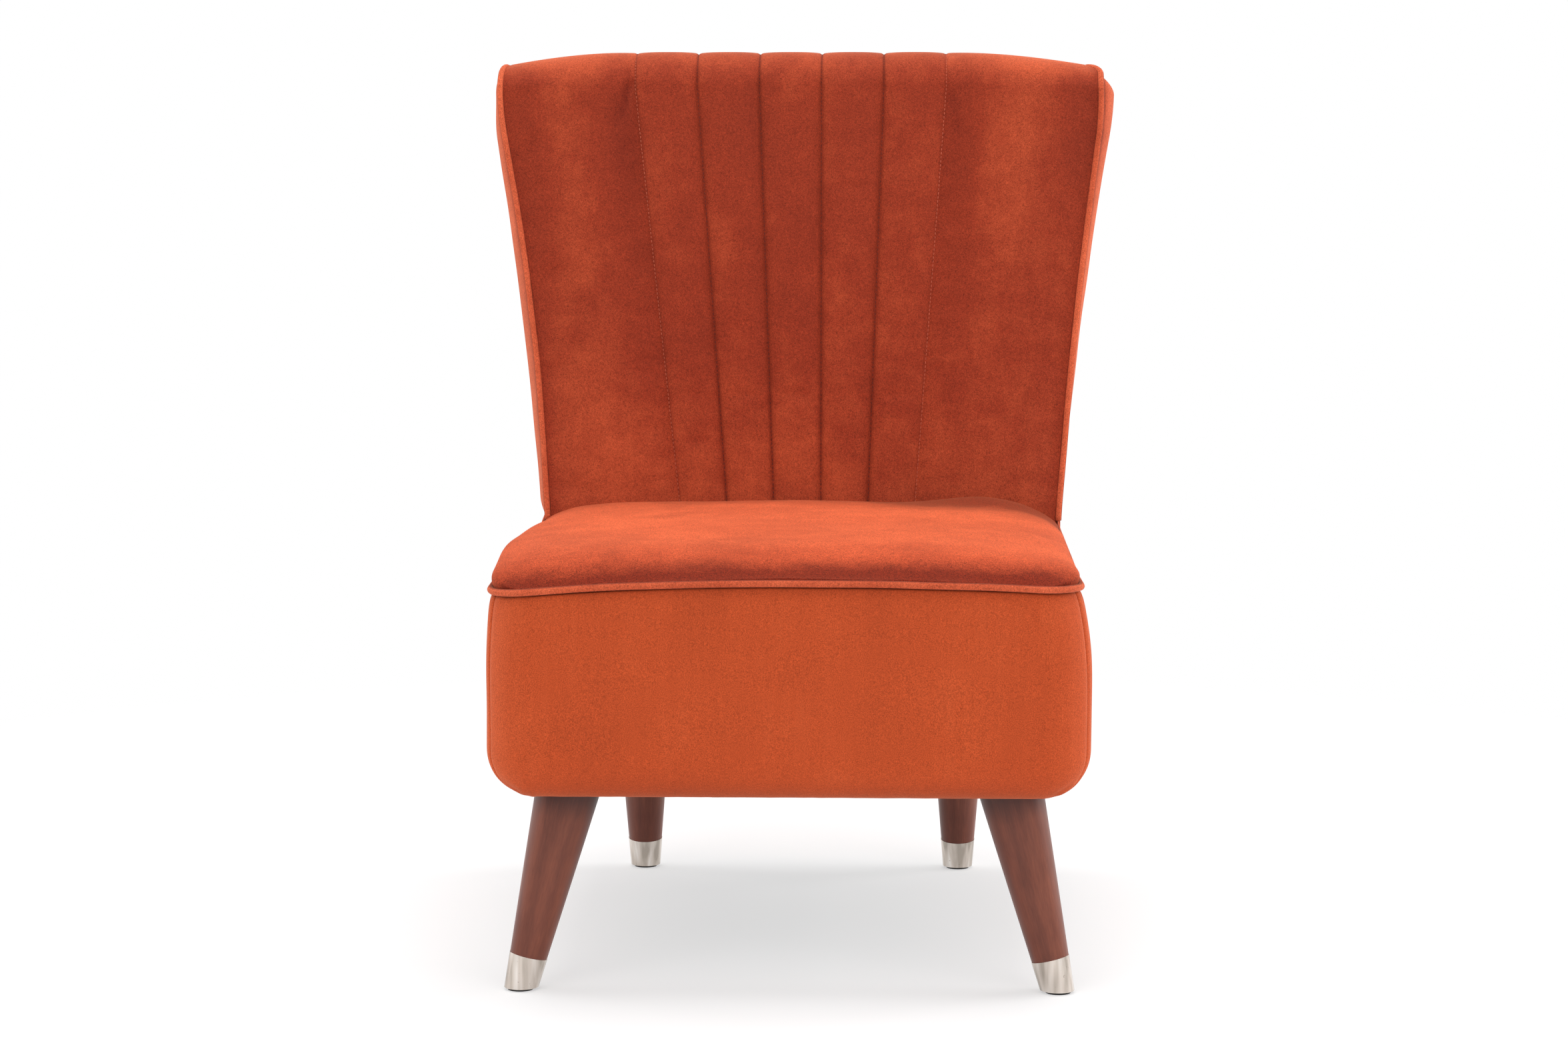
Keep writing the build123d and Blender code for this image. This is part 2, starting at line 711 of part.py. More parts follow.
with BuildPart() as right_boxing_pad:
    for drop in boxing_drops:
        half = boxing_half(drop)
        edge = half_width(drop / cos(wedge_angle)) + boxing_proud - cover
        puff = boxing_puff(drop)
        middle_height = roll_height - drop * cos(spine_angle)
        front_inner = post_outer(middle_height + half * sin(spine_angle)) + rest_gap
        rear_inner = post_outer(middle_height - half * sin(spine_angle)) + rest_gap
        with BuildSketch(spine_sections.offset(-drop)):
            with BuildLine():
                ThreePointArc((edge, -half), (edge + puff, 0), (edge, half))
                Polyline((edge, half), (rear_inner, half), (front_inner, -half), (edge, -half))
            make_face()
    loft(ruled=True)
    with BuildSketch(spine_sections):
        with BuildLine():
            shoulder = (boxing_crown(edge, puff, half, half / 2), -half / 2)
            ThreePointArc((edge, -half), shoulder, (edge + puff, 0))
            Polyline((edge + puff, 0), (roll_half, 0), (roll_half, -half), (edge, -half))
        make_face()
    revolve(axis=roll_axis, revolution_arc=180)
    split(bisect_by=Plane.XY.offset(deck_height), keep=Keep.TOP)
pieces["right_boxing_pad"] = right_boxing_pad.part

with BuildPart() as right_boxing:
    for drop in boxing_drops:
        half = boxing_half(drop)
        edge = half_width(drop / cos(wedge_angle)) + boxing_proud
        puff = boxing_puff(drop)
        with BuildSketch(spine_sections.offset(-drop)):
            with BuildLine():
                ThreePointArc((edge, -half), (edge + puff, 0), (edge, half))
                Line((edge, half), (edge - cover, half))
                ThreePointArc((edge - cover, half), (edge + puff - cover, 0), (edge - cover, -half))
                Line((edge - cover, -half), (edge, -half))
            make_face()
    loft(ruled=True)
    with BuildSketch(spine_sections):
        with BuildLine():
            shoulder = boxing_crown(edge, puff, half, half / 2)
            ThreePointArc((edge, -half), (shoulder, -half / 2), (edge + puff, 0))
            Line((edge + puff, 0), (edge + puff - cover, 0))
            ThreePointArc((edge + puff - cover, 0), (shoulder - cover, -half / 2), (edge - cover, -half))
            Line((edge - cover, -half), (edge, -half))
        make_face()
    revolve(axis=roll_axis, revolution_arc=180)
    split(bisect_by=Plane.XY.offset(deck_height), keep=Keep.TOP)
pieces["right_boxing"] = right_boxing.part

with BuildPart() as left_boxing_pad:
    mirror(right_boxing_pad.part, about=Plane.YZ)
pieces["left_boxing_pad"] = left_boxing_pad.part

with BuildPart() as left_boxing:
    mirror(right_boxing.part, about=Plane.YZ)
pieces["left_boxing"] = left_boxing.part

# Piping of the back: up its front edge and over the roll
cord_depth = core_half + piping_radius + sewn_gap
cord_plane = front_face_plane(cord_depth)
cord_end = front_drop(cord_depth, piping_height + piping_radius + sewn_gap)
cord_points = [
    cord_plane.from_local_coords(Vector(half_width(drop), -drop, 0))
    for drop in (cord_end, (cord_end + shoulder_drop) / 2, shoulder_drop, shoulder_drop / 2, 0)
]
cord_crest = (
    back_top_width / 2,
    roll_back + cord_depth * sin(spine_angle),
    roll_height + cord_depth * cos(spine_angle),
)
with BuildPart() as right_back_piping:
    with BuildLine() as cord:
        ThreePointArc(cord_points[0], cord_points[1], cord_points[2])
        ThreePointArc(cord_points[2], cord_points[3], cord_points[4])
        ThreePointArc(cord_points[4], cord_crest, (back_top_width / 2, *rear_point(cord_depth, 0)))
    with BuildSketch(Plane(cord.line @ 0, z_dir=cord.line % 0)):
        Circle(piping_radius)
    sweep()
pieces["right_back_piping"] = right_back_piping.part

with BuildPart() as left_back_piping:
    mirror(right_back_piping.part, about=Plane.YZ)
pieces["left_back_piping"] = left_back_piping.part

# Outside back: a cover wrapped over wadding and a board, down to the underside of the seat
outside_depth = panel_thickness
outside_plane = rear_face_plane(core_half)
outside_band_half = seat_width / 2 - band_draw_in / 2
outside_waist = rear_drop(core_half, deck_height + piping_diameter)
outside_deck = rear_drop(core_half, deck_height - piping_diameter)
outside_end = rear_drop(core_half, band_bottom)


def outside_layer(inset, start, end):
    """One layer of the outside back, between two depths behind the frame."""
    corner = band_under_radius - inset
    half_top = half_width(0) + boxing_proud - inset
    half_waist = half_width(outside_waist) + boxing_proud - inset
    half_band = outside_band_half - inset
    with BuildPart() as layer:
        with BuildSketch(outside_plane.offset(start)):
            with BuildLine():
                Line((0, inset), (half_top, inset))
                shoulder_middle = half_width(shoulder_drop / 2) + boxing_proud - inset
                shoulder_end = half_width(shoulder_drop) + boxing_proud - inset
                Polyline((half_top, inset), (shoulder_middle, shoulder_drop / 2), (shoulder_end, shoulder_drop))
                flare_drop = (shoulder_drop + outside_waist) / 2
                flare_middle = (half_width(flare_drop) + boxing_proud - inset, flare_drop)
                ThreePointArc((shoulder_end, shoulder_drop), flare_middle, (half_waist, outside_waist))
                Polyline(
                    (half_waist, outside_waist),
                    (half_band, outside_deck),
                    (half_band, outside_end - inset - corner),
                )
                RadiusArc(
                    (half_band, outside_end - inset - corner),
                    (half_band - corner, outside_end - inset),
                    -corner,
                )
                Line((half_band - corner, outside_end - inset), (0, outside_end - inset))
                mirror(about=Plane.YZ)
            make_face()
        extrude(amount=end - start)
    return layer.part


wadding_end = outside_depth - cover
with BuildPart() as outside_back_cover:
    add(outside_layer(0, 0, outside_depth))
    add(outside_layer(cover, 0, wadding_end), mode=Mode.SUBTRACT)
pieces["outside_back_cover"] = outside_back_cover.part
pieces["outside_back_board"] = outside_layer(cover + rest_gap, 0, board_thickness)
pieces["outside_back_wadding"] = outside_layer(cover + rest_gap, board_thickness, wadding_end)


# Seat: foam with a crowned top, and its cover
seat_edge_half = seat_width / 2 - band_draw_in - piping_radius / 4 - piping_radius - sewn_gap
seat_edge_front = front + band_draw_in + piping_radius / 4 + piping_radius + sewn_gap
seat_back_end = front + seat_depth + crown_rise
crown_stations = (                                      # depth from the sewn edge, share of the rise
    (0, 0.10),
    (7, 0.30),
    (16, 0.50),
    (30, 0.70),
    (52, 0.86),
    (90, 0.96),
    (180, 1.0),
    (320, 0.97),
    (seat_back_end - seat_edge_front, 0.86),
)


def crown_section(rise, low, thickness=None):
    """Seat section across the chair: shoulders and a crown over a flat or a parallel underside."""
    edge, shoulder = seat_edge_half, seat_edge_half - seat_shoulder
    knee = seat_edge_half - seat_shoulder / 2
    base = piping_height - cover if thickness is None else piping_height
    drop = thickness or 0
    points = []
    for lift in (0, -drop):
        points.append([
            (-edge, base + lift),
            (-knee, base + 0.56 * rise + lift),
            (-shoulder, base + 0.84 * rise + lift),
            (0, base + rise + lift),
            (shoulder, base + 0.84 * rise + lift),
            (knee, base + 0.56 * rise + lift),
            (edge, base + lift),
        ])
    with BuildLine() as line:
        for row in points if thickness else points[:1]:
            ThreePointArc(row[0], row[1], row[2])
            ThreePointArc(row[2], row[3], row[4])
            ThreePointArc(row[4], row[5], row[6])
        if thickness:
            Line(points[0][0], points[1][0])
            Line(points[0][-1], points[1][-1])
        else:
            Polyline(points[0][0], (-edge, low), (edge, low), points[0][-1])
    return line.line


def seat_layer(thickness=None):
    """Crowned seat layer, trimmed to the rounded outline inside the piping."""
    with BuildPart() as layer:
        for depth, share in crown_stations:
            plane = Plane((0, seat_edge_front + depth, 0), x_dir=(1, 0, 0), z_dir=(0, -1, 0))
            with BuildSketch(plane):
                with BuildLine():
                    add(crown_section(share * crown_rise, deck_height, thickness))
                make_face()
        loft(ruled=True)
        with BuildSketch(Plane.XY.offset(frame_bottom)):
            with BuildLine():
                corner = band_corner_radius - (seat_width / 2 - seat_edge_half)
                outline = FilletPolyline(
                    (seat_edge_half, seat_back_end),
                    (seat_edge_half, seat_edge_front),
                    (-seat_edge_half, seat_edge_front),
                    (-seat_edge_half, seat_back_end),
                    radius=corner,
                )
                Line(outline @ 1, outline @ 0)
            make_face()
        extrude(amount=reach, mode=Mode.INTERSECT)
        split(bisect_by=seat_cut, keep=Keep.TOP)
    return layer.part


pieces["seat_top_cover"] = seat_layer(cover)

with BuildPart() as seat_foam:
    with BuildSketch(Plane.XY.offset(foam_bottom)):
        with Locations((0, frame_front + rest_gap)):
            Rectangle(2 * (frame_half - rest_gap), seat_depth + crown_rise, align=(Align.CENTER, Align.MIN))
    extrude(amount=deck_height - foam_bottom)
    fillet(seat_foam.edges().filter_by(Axis.Z).sort_by(Axis.Y)[:2], frame_corner_radius)
    split(bisect_by=seat_cut, keep=Keep.TOP)
    add(seat_layer())
pieces["seat_foam"] = seat_foam.part


# Seat band: pads round the frame under a cover with round corners
def seat_body(inset):
    """Padded form of the seat band, inset by a thickness."""
    with BuildPart() as body:
        for height, draw in ((band_bottom + inset, 0), (band_full, 0), (band_top, band_draw_in)):
            half = seat_width / 2 - inset - draw
            body_front = front + inset + draw
            with BuildSketch(Plane.XY.offset(height)):
                with BuildLine():
                    outline = FilletPolyline(
                        (half, overall_depth),
                        (half, body_front),
                        (-half, body_front),
                        (-half, overall_depth),
                        radius=band_corner_radius - inset - draw,
                    )
                    Line(outline @ 1, outline @ 0)
                make_face()
        loft(ruled=True)
        lower_edges = body.edges().group_by(Axis.Z)[0].sort_by(Axis.Y)[:-1]
        fillet(lower_edges, band_under_radius - inset)
        split(bisect_by=rear_cut, keep=Keep.BOTTOM)
    return body.part


well_half = seat_width / 2 - band_under_radius - turn_under
well_front = front + band_under_radius + turn_under
with BuildPart() as underside_cut:
    with BuildSketch(Plane.XY.offset(band_bottom - under_pad)):
        with Locations((0, well_front)):
            Rectangle(2 * well_half, reach, align=(Align.CENTER, Align.MIN))
        with Locations(*hole_spots):
            Circle(leg_top_diameter / 2 + leg_hole_clearance)
    extrude(amount=frame_bottom - band_bottom + under_pad)

padded_form = seat_body(cover)
with BuildPart() as band_cover:
    add(seat_body(0))
    add(padded_form, mode=Mode.SUBTRACT)
    add(underside_cut.part, mode=Mode.SUBTRACT)

with BuildPart() as band_padding:
    add(padded_form)
    add(frame_form, mode=Mode.SUBTRACT)
    add(underside_cut.part, mode=Mode.SUBTRACT)

# The front layer ends at the upright seams and takes the whole turn-under along the front
with BuildPart() as front_zone:
    with BuildSketch(Plane.XY):
        with Locations((0, front + band_seam_setback)):
            Rectangle(2 * seat_width, reach, align=(Align.CENTER, Align.MAX))
        Rectangle(2 * well_half, reach)
    extrude(amount=overall_height)

for layer_name, layer in (("band", band_cover), ("band_pad", band_padding)):
    with BuildPart() as front_layer:
        add(layer.part)
        add(front_zone.part, mode=Mode.INTERSECT)
    pieces[f"front_{layer_name}"] = front_layer.part
    for side, kept in (("left", Keep.BOTTOM), ("right", Keep.TOP)):
        with BuildPart() as side_layer:
            add(layer.part)
            add(front_zone.part, mode=Mode.SUBTRACT)
            split(bisect_by=Plane.YZ, keep=kept)
        pieces[f"{side}_{layer_name}"] = side_layer.part

# Piping round the seat's front and sides
cord_half = seat_edge_half + piping_radius + sewn_gap
cord_front = seat_edge_front - piping_radius - sewn_gap
cord_rear = rear_point(core_half, rear_drop(core_half, piping_height - piping_radius))[0] - sewn_gap
with BuildPart() as seat_piping:
    with BuildLine(Plane.XY.offset(piping_height)) as seat_cord:
        FilletPolyline(
            (-cord_half, cord_rear),
            (-cord_half, cord_front),
            (cord_half, cord_front),
            (cord_half, cord_rear),
            radius=band_corner_radius - (seat_width / 2 - cord_half),
        )
    with BuildSketch(Plane(seat_cord.line @ 0, z_dir=seat_cord.line % 0)):
        Circle(piping_radius)
    sweep()
pieces["seat_piping"] = seat_piping.part

# Dust cover under the frame, cut round the legs
flat_half = seat_width / 2 - band_under_radius - dust_cover_margin
flat_front = front + band_under_radius + dust_cover_margin
flat_rear = rear_point(core_half, rear_drop(core_half, band_bottom))[0] - dust_cover_margin
with BuildPart() as dust_cover:
    with BuildSketch(Plane.XY.offset(band_bottom - dust_cover_thickness)):
        with Locations((0, flat_front)):
            Rectangle(2 * flat_half, flat_rear - flat_front, align=(Align.CENTER, Align.MIN))
        with Locations(*hole_spots):
            Circle(leg_top_diameter / 2 + leg_hole_clearance, mode=Mode.SUBTRACT)
    extrude(amount=dust_cover_thickness)
pieces["dust_cover"] = dust_cover.part

os.makedirs("parts", exist_ok=True)
for name, part in pieces.items():
    part.label = name
    export_step(part, f"parts/{name}.step")
    print(f"{name}: {len(part.solids())} solid(s), {part.volume / 1000:.1f} cm3")
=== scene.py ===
import math

import bmesh
import bpy
import numpy as np
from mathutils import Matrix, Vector, noise


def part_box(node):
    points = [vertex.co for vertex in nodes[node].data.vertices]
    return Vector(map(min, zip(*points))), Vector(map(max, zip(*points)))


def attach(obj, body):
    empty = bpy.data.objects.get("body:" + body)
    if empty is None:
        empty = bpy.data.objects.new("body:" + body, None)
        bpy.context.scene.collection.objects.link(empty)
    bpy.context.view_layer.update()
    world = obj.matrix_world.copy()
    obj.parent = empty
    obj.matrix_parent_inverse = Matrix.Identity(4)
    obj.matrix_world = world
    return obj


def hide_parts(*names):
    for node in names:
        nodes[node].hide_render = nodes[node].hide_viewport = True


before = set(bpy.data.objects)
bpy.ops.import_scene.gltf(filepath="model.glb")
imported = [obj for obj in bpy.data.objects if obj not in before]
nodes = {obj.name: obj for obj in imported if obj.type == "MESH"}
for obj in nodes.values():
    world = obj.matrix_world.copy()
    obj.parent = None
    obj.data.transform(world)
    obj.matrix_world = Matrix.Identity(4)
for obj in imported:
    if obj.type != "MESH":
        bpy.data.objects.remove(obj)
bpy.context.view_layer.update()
scene = bpy.context.scene
print("stage: frame loaded with", len(nodes), "nodes")

chair = {
    "front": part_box("front_band")[0].y,     # front of the seat band
    "rollY": 0.291426,                      # axis of the rolled top
    "rollZ": 0.838,
    "insideLean": math.radians(13),
    "outsideLean": math.radians(3),
    "rollRadius": 0.046,                    # over the crowns of the channels
    "topHalf": 0.318,                       # middle of the back piping
    "seatHalf": 0.269,
    "seatRun": 0.44023,                     # from the roll down to the seat line
    "shoulderRun": 0.045,
    "shoulderInset": 0.0035,
    "deck": 0.3894,                         # the back stands on this level
    "bandBottom": 0.1885,
    "pipingDepth": 0.0404,                  # middle of the back piping, ahead of the roll's axis
    "pipingDip": 0.0108,                    # how far it lies lower over the rolled top
    "rearDepth": 0.036,                     # where the seat's sides end, behind the roll's axis
}
hands = ((-1, "left"), (1, "right"))
rollTurn = math.pi - chair["insideLean"] + chair["outsideLean"]
spineLean = (chair["insideLean"] + chair["outsideLean"]) / 2


class Sock:
    def __init__(self, tree, socket):
        self.tree, self.socket = tree, socket

    @classmethod
    def make(cls, tree, kind, settings=None, inputs=None, output=0):
        node = tree.nodes.new("ShaderNode" + kind)
        for key, value in (settings or {}).items():
            if key == "stops":
                fillRamp(node.color_ramp.elements, value)
            else:
                setattr(node, key, value)
        for key, value in (inputs or {}).items():
            if isinstance(value, cls):
                tree.links.new(value.socket, node.inputs[key])
            else:
                node.inputs[key].default_value = value
        return cls(tree, node.outputs[output])

    def calc(self, operation, *values):
        return Sock.make(self.tree, "Math", {"operation": operation}, dict(enumerate(values)))

    def __add__(self, other):
        return self.calc("ADD", self, other)

    def __sub__(self, other):
        return self.calc("SUBTRACT", self, other)

    def __rsub__(self, other):
        return self.calc("SUBTRACT", other, self)

    def __mul__(self, other):
        return self.calc("MULTIPLY", self, other)

    __radd__, __rmul__ = __add__, __mul__


def fillRamp(elements, stops):
    while len(elements) > 1:
        elements.remove(elements[-1])
    elements[0].position, elements[0].color = stops[0]
    for position, colour in stops[1:]:
        elements.new(position).color = colour


def rgba(red, green, blue):
    return (red, green, blue, 1.0)


def blankMaterial(name, constants):
    material = bpy.data.materials.new(name)
    material.use_nodes = True
    surface = material.node_tree.nodes["Principled BSDF"]
    for key, value in constants.items():
        surface.inputs[key].default_value = value
    return material, material.node_tree, surface


def feed(surface, links):
    for key, sock in links.items():
        sock.tree.links.new(sock.socket, surface.inputs[key])


def objectPlace(tree, stretch=(1, 1, 1)):
    place = Sock.make(tree, "TexCoord", output="Object")
    return Sock.make(tree, "VectorMath", {"operation": "MULTIPLY"}, {0: place, 1: stretch})


def noiseAt(tree, place, scale, detail=2.0, roughness=0.5):
    return Sock.make(tree, "TexNoise", {}, {
        "Vector": place, "Scale": scale, "Detail": detail, "Roughness": roughness})


def rampOf(tree, value, stops):
    return Sock.make(tree, "ValToRGB", {"stops": stops}, {0: value})


def bumpOf(tree, height, strength, distance):
    return Sock.make(tree, "Bump", {}, {
        "Height": height, "Strength": strength, "Distance": distance}, "Normal")


velvetLook = {
    "pile": 1050,          # fibres, per metre
    "pileShade": 2.1,      # how far fibres change the colour
    "weave": 420,
    "weaveShade": 0.75,
    "patches": 11.0,       # brushed patches, per metre
    "patchShade": 0.80,
    "smudges": 38.0,       # small crushed marks, per metre
    "smudgeShade": 0.42,
    "streaks": 110,
    "streakShade": 0.16,
    "paintedLightStrength": 0.5,       # strength of the painted shade and highlight on a piece
    "roughness": 0.85,
    "sheen": 0.32,
    "sheenRoughness": 0.40,
    "sheenTint": rgba(1.0, 0.45, 0.27),
    "bump": 0.35,
    "bumpDepth": 0.0009,
}
velvetTones = {            # crushed pile with painted shade, even pile, brushed pile with painted highlight; the pieces' tones also differ as lit and shaded copies of one velvet
    "back": (rgba(0.150, 0.0165, 0.0070), rgba(0.250, 0.0310, 0.0120), rgba(0.45, 0.0740, 0.0270)),
    "seat": (rgba(0.170, 0.0165, 0.0056), rgba(0.418, 0.0575, 0.0198), rgba(0.65, 0.1040, 0.0360)),
    "band": (rgba(0.270, 0.0370, 0.0100), rgba(0.425, 0.0630, 0.0175), rgba(0.58, 0.1080, 0.036)),
    "boxing": (rgba(0.150, 0.0180, 0.0070), rgba(0.400, 0.0620, 0.0240), rgba(0.60, 0.1200, 0.054)),
    "piping": (rgba(0.170, 0.0200, 0.0080), rgba(0.400, 0.0620, 0.0240), rgba(0.62, 0.1250, 0.053)),
}


def velvet(name, tones, look):
    material, tree, surface = blankMaterial(name, {
        "Sheen Weight": look["sheen"],
        "Sheen Roughness": look["sheenRoughness"],
        "Sheen Tint": look["sheenTint"],
        "Specular IOR Level": 0.10,
    })
    place = objectPlace(tree)
    # the attribute read here holds each piece's painted shade and highlight
    nap = Sock.make(tree, "Attribute", {"attribute_name": "nap"}, output="Fac")
    patches = noiseAt(tree, objectPlace(tree, (1.0, 1.0, 0.55)), look["patches"], 4.0, 0.6)
    smudges = noiseAt(tree, objectPlace(tree, (0.8, 0.8, 1.2)), look["smudges"], 5.0, 0.65)
    streaks = noiseAt(tree, objectPlace(tree, (1.0, 1.0, 0.06)), look["streaks"], 3.0, 0.6)
    weave = noiseAt(tree, place, look["weave"], 2.0, 0.6)
    fibres = noiseAt(tree, place, look["pile"], 2.0, 0.7)
    tone = 0.5 + (patches - 0.5) * look["patchShade"] + (streaks - 0.5) * look["streakShade"]
    tone = tone + (smudges - 0.5) * look["smudgeShade"] + nap * look["paintedLightStrength"]
    crushedAndShaded, even, brushedAndLit = tones
    lay = rampOf(tree, tone, [(0.0, crushedAndShaded), (0.5, even), (1.0, brushedAndLit)])
    grain = 1.0 + (fibres - 0.5) * look["pileShade"] + (weave - 0.5) * look["weaveShade"]
    colour = Sock.make(tree, "VectorMath", {"operation": "SCALE"}, {0: lay, "Scale": grain})
    roughness = look["roughness"] + (patches - 0.5) * 0.18 + (fibres - 0.5) * 0.1
    height = fibres * 0.5 + weave * 0.7 + patches * 0.6
    feed(surface, {
        "Base Color": colour,
        "Roughness": roughness,
        "Normal": bumpOf(tree, height, look["bump"], look["bumpDepth"]),
    })
    return material


walnutLook = {
    "bands": 75.0,             # growth bands across the leg, per metre
    "pores": 900.0,
    "clouds": 22,
    "drawnOut": 0.96,          # how far the grain is drawn out along the leg
    "dark": rgba(0.078, 0.0190, 0.0108),
    "mid": rgba(0.150, 0.0390, 0.0212),
    "light": rgba(0.240, 0.0670, 0.0335),
}


def walnut(name, foot, top, look):
    material, tree, surface = blankMaterial(name, {
        "Specular IOR Level": 0.30, "Coat Roughness": 0.30})
    axis = (Vector(top) - Vector(foot)).normalized()
    place = Sock.make(tree, "TexCoord", output="Object")
    start = Sock.make(tree, "VectorMath", {"operation": "SUBTRACT"}, {0: place, 1: foot})
    along = Sock.make(tree, "VectorMath", {"operation": "DOT_PRODUCT"}, {0: start, 1: axis}, "Value")
    shift = Sock.make(tree, "VectorMath", {"operation": "SCALE"}, {
        0: axis, "Scale": along * look["drawnOut"]})
    grainPlace = Sock.make(tree, "VectorMath", {"operation": "SUBTRACT"}, {0: start, 1: shift})
    bands = noiseAt(tree, grainPlace, look["bands"], 3.0, 0.55)
    pores = noiseAt(tree, grainPlace, look["pores"], 2.0, 0.6)
    clouds = noiseAt(tree, start, look["clouds"], 2.0)
    shade = rampOf(tree, along, [                    # painted shadow of the seat, darker near the top of the leg
        (0.10, rgba(1, 1, 1)), (0.168, rgba(0.85, 0.85, 0.85)), (0.190, rgba(0.40, 0.40, 0.44))])
    tone = bands * 0.62 + pores * 0.30 + clouds * 0.22
    wood = rampOf(tree, tone, [(0.30, look["dark"]), (0.56, look["mid"]), (0.82, look["light"])])
    colour = Sock.make(tree, "Mix", {"data_type": "RGBA", "blend_type": "MULTIPLY"},
                       {0: 1.0, 6: wood, 7: shade}, 2)
    feed(surface, {
        "Base Color": colour,
        "Roughness": 0.40 + (pores - 0.5) * 0.25,
        "Coat Weight": 0.06 + clouds * 0.10,
        "Normal": bumpOf(tree, pores * 0.6 + bands * 0.4, 0.10, 0.0006),
    })
    return material


# shade and glint are painted reflection tones, worn is wear
nickelLook = {
    "metal": rgba(0.62, 0.55, 0.49),
    "shade": rgba(0.42, 0.37, 0.32),
    "glint": rgba(0.82, 0.77, 0.72),
    "worn": rgba(0.24, 0.18, 0.15),
    "roughness": 0.08,
    "smears": 55,              # all four per metre
    "lines": 600,
    "specks": 240,
    "streaks": 95,
}


def nickel(name, look):
    material, tree, surface = blankMaterial(name, {"Specular IOR Level": 0.5})
    smears = noiseAt(tree, objectPlace(tree), look["smears"], 3.0, 0.6)
    lines = noiseAt(tree, objectPlace(tree, (1.0, 1.0, 0.05)), look["lines"], 2.0, 0.6)
    specks = noiseAt(tree, objectPlace(tree), look["specks"], 2.0, 0.7)
    wear = rampOf(tree, specks, [(0.70, rgba(0, 0, 0)), (0.78, rgba(1, 1, 1))])
    streaks = noiseAt(tree, objectPlace(tree, (1.0, 1.0, 0.12)), look["streaks"], 2.0, 0.5)
    # painted reflection: streaks run from a dark reflected tone through the metal to a glint
    bright = rampOf(tree, streaks, [
        (0.36, look["shade"]), (0.50, look["metal"]), (0.70, look["glint"])])
    colour = Sock.make(tree, "Mix", {"data_type": "RGBA"}, {0: wear, 6: bright, 7: look["worn"]}, 2)
    feed(surface, {
        "Base Color": colour,
        "Metallic": 1.0 - wear * 0.35,
        "Roughness": look["roughness"] + smears * 0.10 + wear * 0.2,
        "Normal": bumpOf(tree, lines, 0.06, 0.0003),
    })
    return material


def speckled(name, look):
    material, tree, surface = blankMaterial(name, {
        "Specular IOR Level": 0.3, "Metallic": look.get("metallic", 0.0)})
    place = objectPlace(tree, look.get("stretch", (1, 1, 1)))
    coarse = noiseAt(tree, place, look["scale"], 3.0, 0.6)
    fine = noiseAt(tree, place, look["scale"] * 9, 2.0, 0.6)
    tone = coarse * 0.65 + fine * 0.35
    feed(surface, {
        "Base Color": rampOf(tree, tone, [(0.32, look["dark"]), (0.68, look["light"])]),
        "Roughness": look["roughness"] + (fine - 0.5) * 0.2,
        "Normal": bumpOf(tree, tone, look["bump"], 0.0008),
    })
    return material


velvetFinish = {           # where a cover differs from velvetLook
    "back": {"smudgeShade": 0.44, "patchShade": 0.62},
    "band": {"pileShade": 1.8, "weaveShade": 0.22, "patchShade": 0.45, "smudgeShade": 0.10},
    "seat": {"pileShade": 3.4, "weaveShade": 1.10, "smudgeShade": 0.55, "sheen": 0.24,
             "sheenTint": rgba(1.0, 0.35, 0.16)},
}
velvets = {}
for key, tones in velvetTones.items():
    velvets[key] = velvet("velvet_" + key, tones, velvetLook | velvetFinish.get(key, {}))
plainLooks = {
    "frame_wood": {"dark": rgba(0.34, 0.22, 0.12), "light": rgba(0.62, 0.45, 0.28),
                   "scale": 30, "stretch": (1, 0.2, 1), "roughness": 0.7, "bump": 0.2},
    "webbing": {"dark": rgba(0.02, 0.02, 0.02), "light": rgba(0.10, 0.09, 0.08),
                "scale": 180, "roughness": 0.85, "bump": 0.5},
    "steel": {"dark": rgba(0.42, 0.42, 0.40), "light": rgba(0.62, 0.61, 0.58),
              "scale": 90, "roughness": 0.38, "bump": 0.1, "metallic": 1.0},
    # brown hardboard, darkened so that its sliver beside the seat's rear corner reads as shade: partly
    # painted shade
    "fibreboard": {"dark": rgba(0.055, 0.021, 0.011), "light": rgba(0.085, 0.033, 0.017),
                   "scale": 140, "roughness": 0.85, "bump": 0.3},
    "dust_cloth": {"dark": rgba(0.006, 0.006, 0.007), "light": rgba(0.030, 0.030, 0.032),
                   "scale": 160, "roughness": 0.92, "bump": 0.6},
    "glide": {"dark": rgba(0.010, 0.010, 0.011), "light": rgba(0.035, 0.034, 0.033),
              "scale": 120, "roughness": 0.55, "bump": 0.2},
    "thread": {"dark": rgba(0.30, 0.050, 0.024), "light": rgba(0.56, 0.130, 0.066),
               "scale": 300, "roughness": 0.75, "bump": 0.3},
    "innerThread": {"dark": rgba(0.060, 0.008, 0.005), "light": rgba(0.150, 0.022, 0.012),
                    "scale": 300, "roughness": 0.8, "bump": 0.3},
}
plains = {key: speckled(key, look) for key, look in plainLooks.items()}
print("stage: materials made")


def smoothStep(value):
    share = np.clip(value, 0.0, 1.0)
    return share * share * (3.0 - 2.0 * share)


def bell(value, middle, width):
    return np.exp(-((value - middle) / width) ** 2)


def ofSide(pair, side):
    return pair[0 if side < 0 else 1]


shoulderBend = (chair["shoulderInset"] ** 2 + chair["shoulderRun"] ** 2) / (2 * chair["shoulderInset"])
shoulderHalf = chair["topHalf"] - chair["shoulderInset"]
shoulderSlope = chair["shoulderRun"] / math.sqrt(shoulderBend ** 2 - chair["shoulderRun"] ** 2)
flareRun = chair["seatRun"] - chair["shoulderRun"]
flareSpread = chair["seatHalf"] - shoulderHalf
flareTilt = math.hypot(1.0, shoulderSlope)
flareBend = (flareRun ** 2 + flareSpread ** 2) * flareTilt / (
    2 * (shoulderSlope * flareRun + flareSpread))
flareCentre = (chair["shoulderRun"] + flareBend * shoulderSlope / flareTilt,
               shoulderHalf + flareBend / flareTilt)


